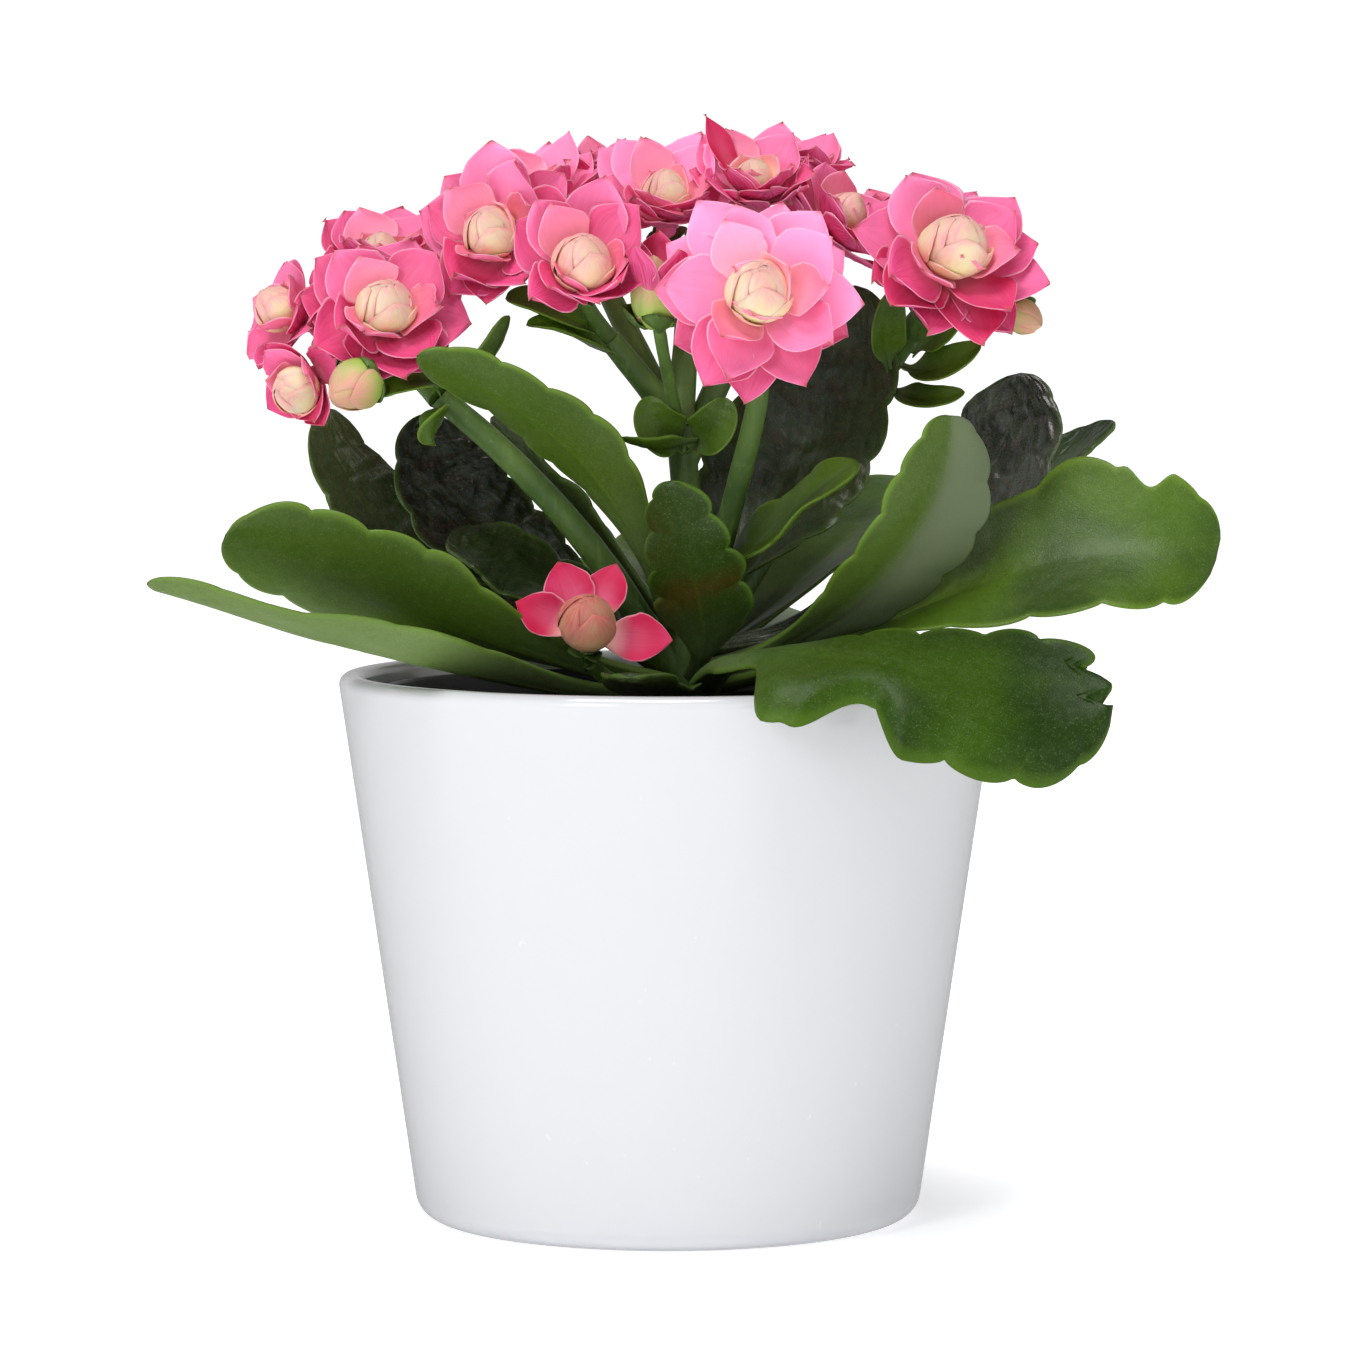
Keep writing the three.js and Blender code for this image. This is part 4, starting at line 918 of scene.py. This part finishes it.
def petalTree():
    # each point of the mesh it gets is one petal, whose numbers it carries
    a = petalShape
    sheet = Grower("petalWhorl", Thick=a["thick"] * mm, Rows=a["rows"], Around=a["around"])
    petals, t, s, y = sheet.rods()
    turn, length, width, root, tip = sheet.numbers("turn", "length", "half", "root", "tip")
    drop, foot, cup, lap, curl, wavy = sheet.numbers("drop", "foot", "cup", "lap", "curl", "wavy")
    spoke = sheet.vector(turn.of("COSINE"), turn.of("SINE"), 0.0)
    aside = sheet.vector(turn.of("SINE") * -1, turn.of("COSINE"), 0.0)
    # the midrib is an arc whose angle from the axis goes from root to tip
    angle = root + (tip - root) * t
    bend = (tip - root) + 0.0001
    reach = foot + length * (root.of("COSINE") - angle.of("COSINE")) / bend
    rise = length * (angle.of("SINE") - root.of("SINE")) / bend - drop
    up = spoke * (angle.of("COSINE") * -1) + sheet.vector(0.0, 0.0, angle.of("SINE"))
    outline = t ** 1.1 * 2.6 * (1 - t ** 2.4).atLeast(0.0) ** 1.12 + (1 - t) * 0.12
    notches = sheet.noise(sheet.vector(t * 3, s * 1.2, turn * 3 + length * 900), 2.2, 2.0) - 0.5
    half = width * outline * (1 + notches * a["notches"])
    lift = half * (cup * s * s + lap * s) + length * curl * t * t * t
    ripple = (t * 9 + turn * 5 + s * 1.7).of("SINE") * s * s * t
    lift = lift + width * wavy * ripple + width * notches * 0.18
    rib = sheet.between(abs(s), 0.16, 0.0) * sheet.between(t, 1.0, 0.7) * (a["rib"] * mm)
    tender = (half / (0.7 * mm)).atMost(1.0) * sheet.between(t, 0.0, 0.3, 2.2, 1.0)
    skin = y * sheet["Thick"] * 0.5 * tender - rib
    place = spoke * reach + sheet.vector(0.0, 0.0, rise) - aside * (half * s) + up * (lift + skin)
    return sheet.put(petals, place)


def heartTree():
    # petals wrapped round an egg; each point of the mesh it gets is one of them
    a = heartShape
    sheet = Grower("heartWrap", Thick=a["thick"] * mm, Rows=a["rows"], Around=a["around"])
    wraps, t, s, y = sheet.rods()
    turn, span, girth, height = sheet.numbers("turn", "span", "girth", "height")
    tall, lap, flare, flap = sheet.numbers("tall", "lap", "flare", "flap")
    level = t * tall
    swell = ((level * 0.91 + 0.09) ** 0.84 * math.pi).of("SINE").atLeast(0.0) ** 0.75
    outline = (t * 3.2).atMost(1.0) * (1 - t ** 3.5).atLeast(0.0) ** 0.6 + 0.02
    outline = 1 + (outline - 1) * flap
    angle = turn + span * s * outline + level * 0.5 * flap
    ripple = sheet.noise(sheet.vector(angle, level * 3, girth * 700), 1.4, 2.0) - 0.5
    reach = girth * (swell * (1 + lap * s + ripple * 0.1) + flare * t * t)
    reach = reach + y * sheet["Thick"] * 0.5 * (1 - t * 0.4)
    rise = height * (level + ripple * 0.02)
    place = sheet.vector(reach * angle.of("COSINE"), reach * angle.of("SINE"), rise)
    return sheet.put(sheet.keep(wraps, upper=y, level=level), place)


petalWhorl = petalTree()
heartWrap = heartTree()
petalFinish = petalPaint()
heartFinishes = {name: heartPaint(name, *tones) for name, tones in heartTones.items()}


def bloomFrame(at, axis, height):
    axis = Vector(axis).normalized()
    base = millimetres(at) - axis * (height * mm / 2)
    return Matrix.Translation(base) @ upright.rotation_difference(axis).to_matrix().to_4x4()


def spread(petals, name, tree, finish, frame, **sizes):
    # one thing from a list of petals, each a dictionary of numbers
    numbers = {label: [petal[label] for petal in petals] for label in petals[0]}
    thing = tree.grow(newThing(name, [(0, 0, 0)] * len(petals), numbers=numbers), Finish=finish, **sizes)
    thing.data.transform(frame)
    return thing


def petal(turn, length, half, root, tip, drop, **more):
    numbers = dict(turn=turn, length=length * mm, half=half * mm, root=math.radians(root),
                   tip=math.radians(tip), drop=drop * mm, foot=petalShape["foot"] * mm, cup=0.24,
                   lap=0.17, curl=0.0, wavy=0.12, lilac=0.0, deep=0.0, pale=0.0, bare=0.3)
    return {**numbers, **more}


def clamped(value):
    return max(0, min(1, value))


def bloomPetals(seed, reach, counts, lean=0, slim=1, lilac=0.1, deep=0.0, bow=12, fill=False,
                full=True, crown=0.0, bare=0.3, turns=(), extra=()):
    # bow is how far the lower petals rise towards the heart, in degrees, crown is how much longer
    # the upper ones are, fill adds one behind each gap, and full stands pale ones round the heart
    draw = makeDraw(seed)
    wild = makeDraw(seed * 7919 + 13)
    petals = []

    def add(turn, length, half, root, tip, drop, pale=0.0):
        low = bow * max(0, -math.sin(turn))
        length = length * (1 + crown * max(0, math.sin(turn)))
        root = root + wild(-4, 4) - low
        tip = min(root - 8, tip + wild(-8, 8) - low)
        petals.append(petal(
            turn, length, half * wild(0.92, 1.08), root, tip, drop, pale=pale,
            cup=wild(0.14, 0.4), curl=wild(-0.1, 0.06), wavy=wild(0.05, 0.2), lap=wild(-0.02, 0.24),
            # upper petals are painted lighter and lower ones deeper pink by their turn, a painted light from
            # above
            lilac=clamped(lilac + wild(-0.15, 0.25) + 0.4 * math.sin(turn)),
            deep=clamped(deep + wild(-0.4, 0.5) - 0.3 * math.sin(turn)), bare=bare))

    for layer, count in enumerate(counts):
        root, tip, far, wide, drop, leaning = petalLayers[layer]
        inmost = layer == 2
        if full and inmost:
            count = max(count, 3)
        for k in range(count):
            turn = ((k + (layer % 2) * 0.5) / count) * math.tau + draw(-0.09, 0.09)
            if turns:
                turn = turns[k]
            length = reach * far * draw(0.93, 1.05)
            tilt = lean * leaning + draw(-4, 4)
            half = reach * petalShape["half"] * wide * slim
            add(turn, length, half, root + tilt, tip + tilt, drop, pale=0.2 if inmost else 0.0)
            if fill and layer == 0:
                add(turn + math.pi / count + wild(-0.2, 0.2), length * wild(0.9, 1.02), half * 0.9,
                    root + tilt + 3, tip + tilt - 1, drop + 0.5)
    if full:
        for k in range(3):
            add(k / 3 * math.tau + wild(-0.3, 0.3) + 0.5, reach * wild(0.44, 0.54), reach * 0.27,
                58 + wild(-6, 4), wild(-16, 4), 0.1, pale=wild(0.3, 0.9))
    for turn, length, half, root, tip, tint in extra:
        petals.append(petal(turn, length, half, root, tip, 1.2, deep=tint, wavy=0.25, cup=0.3))
    return petals


# for each petal folded over a heart: its turn from the front, half of its span, girth, height and
# how far its rim stands off; the collar is what shows round the heart of an open bloom
heartFlaps = [
    (0.0, 1.15, 1.0, 0.84, 0.03), (1.75, 1.3, 0.96, 0.93, 0.03), (-1.85, 1.35, 0.93, 0.97, 0.03),
    (3.1, 1.4, 0.98, 0.96, 0.03),
]
heartCollar = [
    (2.5, 0.95, 1.03, 0.88, 0.03), (-2.1, 0.95, 1.05, 0.8, 0.04), (0.9, 0.8, 1.05, 0.5, 0.05),
    (-0.7, 0.8, 1.08, 0.42, 0.06),
]

# how far hearts nod upwards from the way their bloom faces, their size, the share of the reach
# that the cup under the petals takes, and the steps round the small turned pieces
bloomFit = {"nod": 0.35, "heart": 0.93, "cup": 0.2, "steps": 20}


def heartWraps(seed, radius, height, collar=()):
    # a closed egg with petals folded over it, the first of them towards the viewer
    wild = makeDraw(seed * 104729 + 5)
    wraps = [dict(turn=0.0, span=math.pi, girth=radius * 0.88 * mm, height=height * mm,
                  tall=1.0, lap=0.0, flare=0.0, flap=0.0)]
    for turn, span, girth, tall, flare in [*heartFlaps, *collar]:
        wraps.append(dict(
            turn=turn - math.pi / 2 + wild(-0.3, 0.3), span=span, girth=radius * girth * mm,
            height=height * mm, tall=tall + wild(-0.04, 0.04), lap=wild(0.02, 0.07),
            flare=flare * wild(0.6, 1.4), flap=1.0))
    return wraps


def turnedOn(name, profile, frame, finish):
    # a small turned piece on a bloom's axis
    piece = turned(name, profile, bloomFit["steps"])
    piece.data.transform(frame)
    piece.data.materials.append(finish)
    return piece


def corollaTube(name, reach, frame):
    cup = reach * bloomFit["cup"]
    profile = [(0, -4.3), (1.1, -4.3), (1.25, -3.8), (1.0, -3), (1.15, -2.2), (cup * 0.6, -1.3),
               (cup, -0.7), (cup * 0.9, -0.4), (0, -0.35)]
    return turnedOn(name, profile, frame, petalFinish)


def makeBlooms():
    for order, (name, bloom) in enumerate(blooms.items()):
        at, axis, reach, (radius, height), counts, habits = bloom
        frame = bloomFrame(at, axis, height)
        petals = spread(bloomPetals(order + 1, reach, counts, **habits), "petals_" + name,
                        petalWhorl, petalFinish, frame)
        tube = corollaTube("tube_" + name, reach, frame)
        dress(joined([petals, tube], "petals_" + name), "petal", "bloom_" + name)
        halfOpen = name == "low_front"
        finish = heartFinishes["heartRosy" if halfOpen else "heartCream"]
        nod = tuple(Vector(axis) + upright * bloomFit["nod"])
        wraps = heartWraps(order + 1, radius * bloomFit["heart"], height * bloomFit["heart"],
                           () if halfOpen else heartCollar)
        core = spread(wraps, "core_" + name, heartWrap, finish, bloomFrame(at, nod, height))
        dress(core, "heart", "heart_" + name)


makeBlooms()
print("blooms ready")


# flower stems with their calyxes, buds and bracts
# radii at both ends of each kind of stalk, where stalks end on the axis of their bloom or bud, how
# long before that they bend to it, and both ends of the calyx tube on the axis
stemShape = {
    "branch": (1.75, 1.4), "pedicel": (1.1, 0.85), "budStalk": (0.75, 0.8), "pedicelEnd": -6.7,
    "budStalkEnd": 0.2, "knee": 2.6, "stalkSteps": 14, "calyx": (-6.9, -4.4), "around": 20,
    "knobs": 0.12, "pathSteps": 12, "branchSteps": 8, "bractWidest": 0.45,
}
bractHabits = {
    "Notch": 0.0, "Cup": 0.3, "Fold": 0.1, "Wave": 0.0, "Thick": 0.8 * mm, "Rows": 40, "Around": 24,
}

# middle line of each main stem, and its radius at both ends
stemPaths = {
    "trunk": ([(2, 0, 44), (2, 0, 60), (2.4, 0, 75)], 3.1, 2.9),
    "middle": ([(2.4, 0, 72), (2.6, 0.6, 82), (1.5, 0, 96.5)], 2.1, 1.7),
    "left": ([(1, -1, 66), (-8.2, -5, 80.5), (-17.7, -7, 91.5), (-27.3, -8, 100.3)], 1.8, 1.45),
    "centre": ([(3.5, -1.5, 71), (8, -6, 88), (10.6, -10, 99), (10.9, -13, 106.6)], 1.5, 1.2),
    "right": ([(3, 1.5, 67), (13, 13, 82), (23, 13.5, 97), (30, 5, 108)], 1.7, 1.3),
    "low": ([(2, -2, 62.5), (-3, -6, 64.2), (-7.5, -9.6, 66.6), (-9.2, -12, 68.4)], 1.1, 0.9),
}

# where a branch starts, where it forks, and the blooms on it
forks = [
    ((-27.3, -8, 100.3), (-31, -5, 104), ("left_front", "left_low", "left_side")),
    ((-27.3, -8, 100.3), (-33, 5, 108), ("left_top", "back_left")),
    ((1.5, 0, 96.5), (-7, -3, 107), ("middle_front", "middle_left")),
    ((1.7, 0.1, 94.5), (-7, 5, 112), ("middle_top", "middle_back")),
    ((1.5, 0, 96.5), (2.5, 3, 112), ("centre_left", "back_right")),
    ((1.9, 0.3, 92), (11.5, 5, 114), ("centre_top", "centre_back", "centre_right")),
    (None, (10.8, -12.5, 106), ("centre_front",)),
    ((30, 5, 108), (31, 2, 110), ("right_front", "right_back")),
    (None, (-9, -11.6, 68), ("low_front",)),
]

# middle, way it points, length, radius and where its stalk starts
buds = [
    ((-37.5, -15, 101.5), (-0.6, -0.65, -0.4), 7.2, 3.1, (-31, -5, 104)),
    ((-1.4, -15.2, 113), (-0.08, -0.35, 0.93), 9, 3.1, (1.6, -0.4, 95)),
    ((43.2, -5, 109.6), (0.6, -0.6, -0.3), 5, 2, (31, 2, 110)),
]

# midrib of each bract, the way its upper face looks, and its half width
bracts = [
    ([(-27, -8, 99), (-27.2, -11, 98), (-28, -13, 96.4), (-28.5, -14, 94.6)], (0, 0.6, 0.8), 2.2),
    ([(-27, -8, 100), (-29, -10, 102), (-32, -12, 102), (-35, -13, 100.5)], (0, -0.7, 0.7), 2.8),
    ([(-27, -8, 100), (-23, -9, 103), (-20.5, -9, 106.5), (-19, -9, 110)], (-0.5, 0.5, 0.7), 1.8),
    ([(-7, -3, 107), (-11, -5, 109), (-15, -7, 111), (-19.5, -8, 112)], (0, -0.7, 0.7), 2.6),
    ([(-5, -3, 105), (-9, -5, 106.6), (-12.5, -7, 108.4), (-17, -8, 108.8)], (0, -0.6, 0.8), 2.0),
    ([(3.5, -4, 95), (0.5, -7, 94.6), (-2.5, -8, 94.5), (-6, -8, 95.3)], (0, 0.1, 1), 1.7),
    ([(1.5, -1.5, 93.5), (0, -4, 95), (-1.5, -5.2, 97), (-2, -5.6, 100.3)], (0, -0.9, 0.4), 3.1),
    ([(2.5, -1.5, 93.5), (4.5, -4, 95), (6, -5, 97), (7.2, -5.4, 100)], (0, -0.9, 0.4), 2.9),
    ([(27, 6, 101), (29, 3, 99.9), (32, 0, 99.6), (36, -2, 100.6)], (0, -0.8, 0.6), 1.9),
    ([(28.5, 5, 103.5), (31, 2, 103), (34, 0, 103.8), (38, -2, 106.4)], (0, -0.8, 0.6), 2.5),
    ([(27, 5, 103), (26.4, 2, 106), (26.6, 0, 109.5), (27.5, -1, 113)], (0.3, -0.9, 0), 2.3),
    ([(30, 5, 105), (32, 2, 107), (34, 0, 109), (36, -2, 112)], (-0.3, -0.9, 0.3), 2.4),
]


def stemPaint():
    paint = Paint("stemGreen", IOR=1.42, Subsurface_Weight=0.1, Subsurface_Scale=1.0 * mm)
    grain = paint.grain(1100.0, 3.0, 0.6)
    streak = paint.noise(paint.place * (1.0, 1.0, 0.12), 900.0, 2.0)
    green = paint.coats(
        (0.055, 0.115, 0.02),
        (paint.between(paint.grain(120.0, 3.0), 0.35, 0.65), (0.1, 0.18, 0.035)),
        (paint.between(streak, 0.5, 0.75, 0.0, 0.4), (0.17, 0.3, 0.06)),
        (paint.between(grain, 0.6, 0.75, 0.0, 0.3), (0.2, 0.3, 0.08)),
    )
    return paint.finish(green, 0.42 + grain * 0.12, grain + streak, 0.25 * mm, 0.4)


def stemTree():
    sheet = Grower("stemTubes", Around=stemShape["around"], Knobs=stemShape["knobs"] * mm)
    curve = sheet.add("GeometryNodeMeshToCurve", {"Mesh": sheet.entry})
    ring = sheet.add("GeometryNodeCurvePrimitiveCircle", {"Resolution": sheet["Around"], "Radius": 1.0})
    thick = sheet.numbers("thick")[0]
    wires = {"Curve": curve, "Profile Curve": ring, "Fill Caps": True, "Scale": thick}
    tube = sheet.add("GeometryNodeCurveToMesh", wires)
    knobs = sheet.noise(sheet.add("GeometryNodeInputPosition"), 320.0, 3.0) - 0.5
    out = sheet.add("GeometryNodeInputNormal") * (knobs * sheet["Knobs"] * 2)
    return sheet.close(sheet.add("GeometryNodeSetPosition", {"Geometry": tube, "Offset": out}))


def splinePoints(points, steps):
    # points along a smooth curve through the given ones
    points = [np.array(p, float) for p in points]
    ends = [2 * points[0] - points[1], *points, 2 * points[-1] - points[-2]]
    found = []
    for k in range(len(points) - 1):
        a, b, c, d = ends[k:k + 4]
        for u in np.linspace(0, 1, steps, endpoint=False):
            found.append(0.5 * (2 * b + (c - a) * u + (2 * a - 5 * b + 4 * c - d) * u ** 2
                                + (3 * b - a - 3 * c + d) * u ** 3))
    return found + [points[-1]]


def sepals(length, half, root, tip, drop, foot, turn=0.0):
    return [petal(k / 4 * math.tau + turn, length, half, root, tip, drop, foot=foot * mm, cup=0.5)
            for k in range(4)]


def calyx(name, petals, frame, finish):
    return spread(petals, name, petalWhorl, finish, frame, Rows=10, Around=10)


def calyxTube(name, frame, finish):
    low, high = stemShape["calyx"]
    profile = [(0, low), (0.75, low), (1.1, low + 0.8), (1.4, high - 0.5), (1.45, high), (0, high - 0.2)]
    return turnedOn(name, profile, frame, finish)


def makeStems():
    a = stemShape
    points, edges, thick = [], [], []

    def track(path, first, last):
        start = len(points)
        for k, point in enumerate(path):
            share = k / (len(path) - 1)
            points.append(tuple(np.array(point) * mm))
            thick.append((first + (last - first) * share) * mm)
        edges.extend((k, k + 1) for k in range(start, len(points) - 1))

    def stalk(start, frame, foot, first, last):
        end = frame @ Vector((0, 0, foot * mm)) / mm
        knee = end - frame.to_3x3() @ upright * a["knee"]
        start, end, knee = (np.array(p) for p in (start, end, knee))
        track([start * (1 - u) ** 2 + knee * 2 * u * (1 - u) + end * u * u
               for u in np.linspace(0, 1, a["stalkSteps"])], first, last)

    for path, first, last in stemPaths.values():
        track(splinePoints(path, a["pathSteps"]), first, last)
    parts = []
    finish = stemPaint()
    for start, via, names in forks:
        if start:
            track(splinePoints([start, via], a["branchSteps"]), *a["branch"])
        for name in names:
            at, axis, reach, heart, counts, habits = blooms[name]
            frame = bloomFrame(at, axis, heart[1])
            stalk(via, frame, a["pedicelEnd"], *a["pedicel"])
            parts.append(calyx("calyx_" + name, sepals(3.5, 1.15, 36, 46, 6.9, 0.4, 0.4), frame, finish))
            parts.append(calyxTube("cup_" + name, frame, finish))
    for order, (at, axis, length, radius, start) in enumerate(buds):
        frame = bloomFrame(at, axis, length)
        stalk(start, frame, a["budStalkEnd"], *a["budStalk"])
        parts.append(spread(heartWraps(order + 40, radius, length), f"bud_{order}", heartWrap,
                            heartFinishes["budGreen"], frame))
        green = sepals(length * 0.5, radius * 0.6, 70, 12, 0.2, 1.2)
        parts.append(calyx(f"budCalyx_{order}", green, frame, finish))
        if order == 1:
            # the opening bud shows three petals above its green base
            opening = [petal(-2.2, 8.5, 2.7, 24, 4, -3.4, foot=1.4 * mm, deep=1.0),
                       petal(-0.7, 8, 2.8, 34, 10, -3.2, foot=1.4 * mm, lilac=0.3),
                       petal(1.3, 8, 2.8, 26, 4, -3.2, foot=1.2 * mm, deep=0.4)]
            parts.append(spread(opening, "budPetals", petalWhorl, petalFinish, frame))
    for order, (midrib, up, half) in enumerate(bracts):
        parts.append(growLeaf(f"bract_{order}", midrib, up, up, half, a["bractWidest"],
                              leafFinishes["green"], **bractHabits))
    tubes = stemTree().grow(newThing("stalks", points, edges, numbers={"thick": thick}), Finish=finish)
    dress(joined([tubes, *parts], "stalks"), "stem", "stems")


makeStems()
print("stems ready")
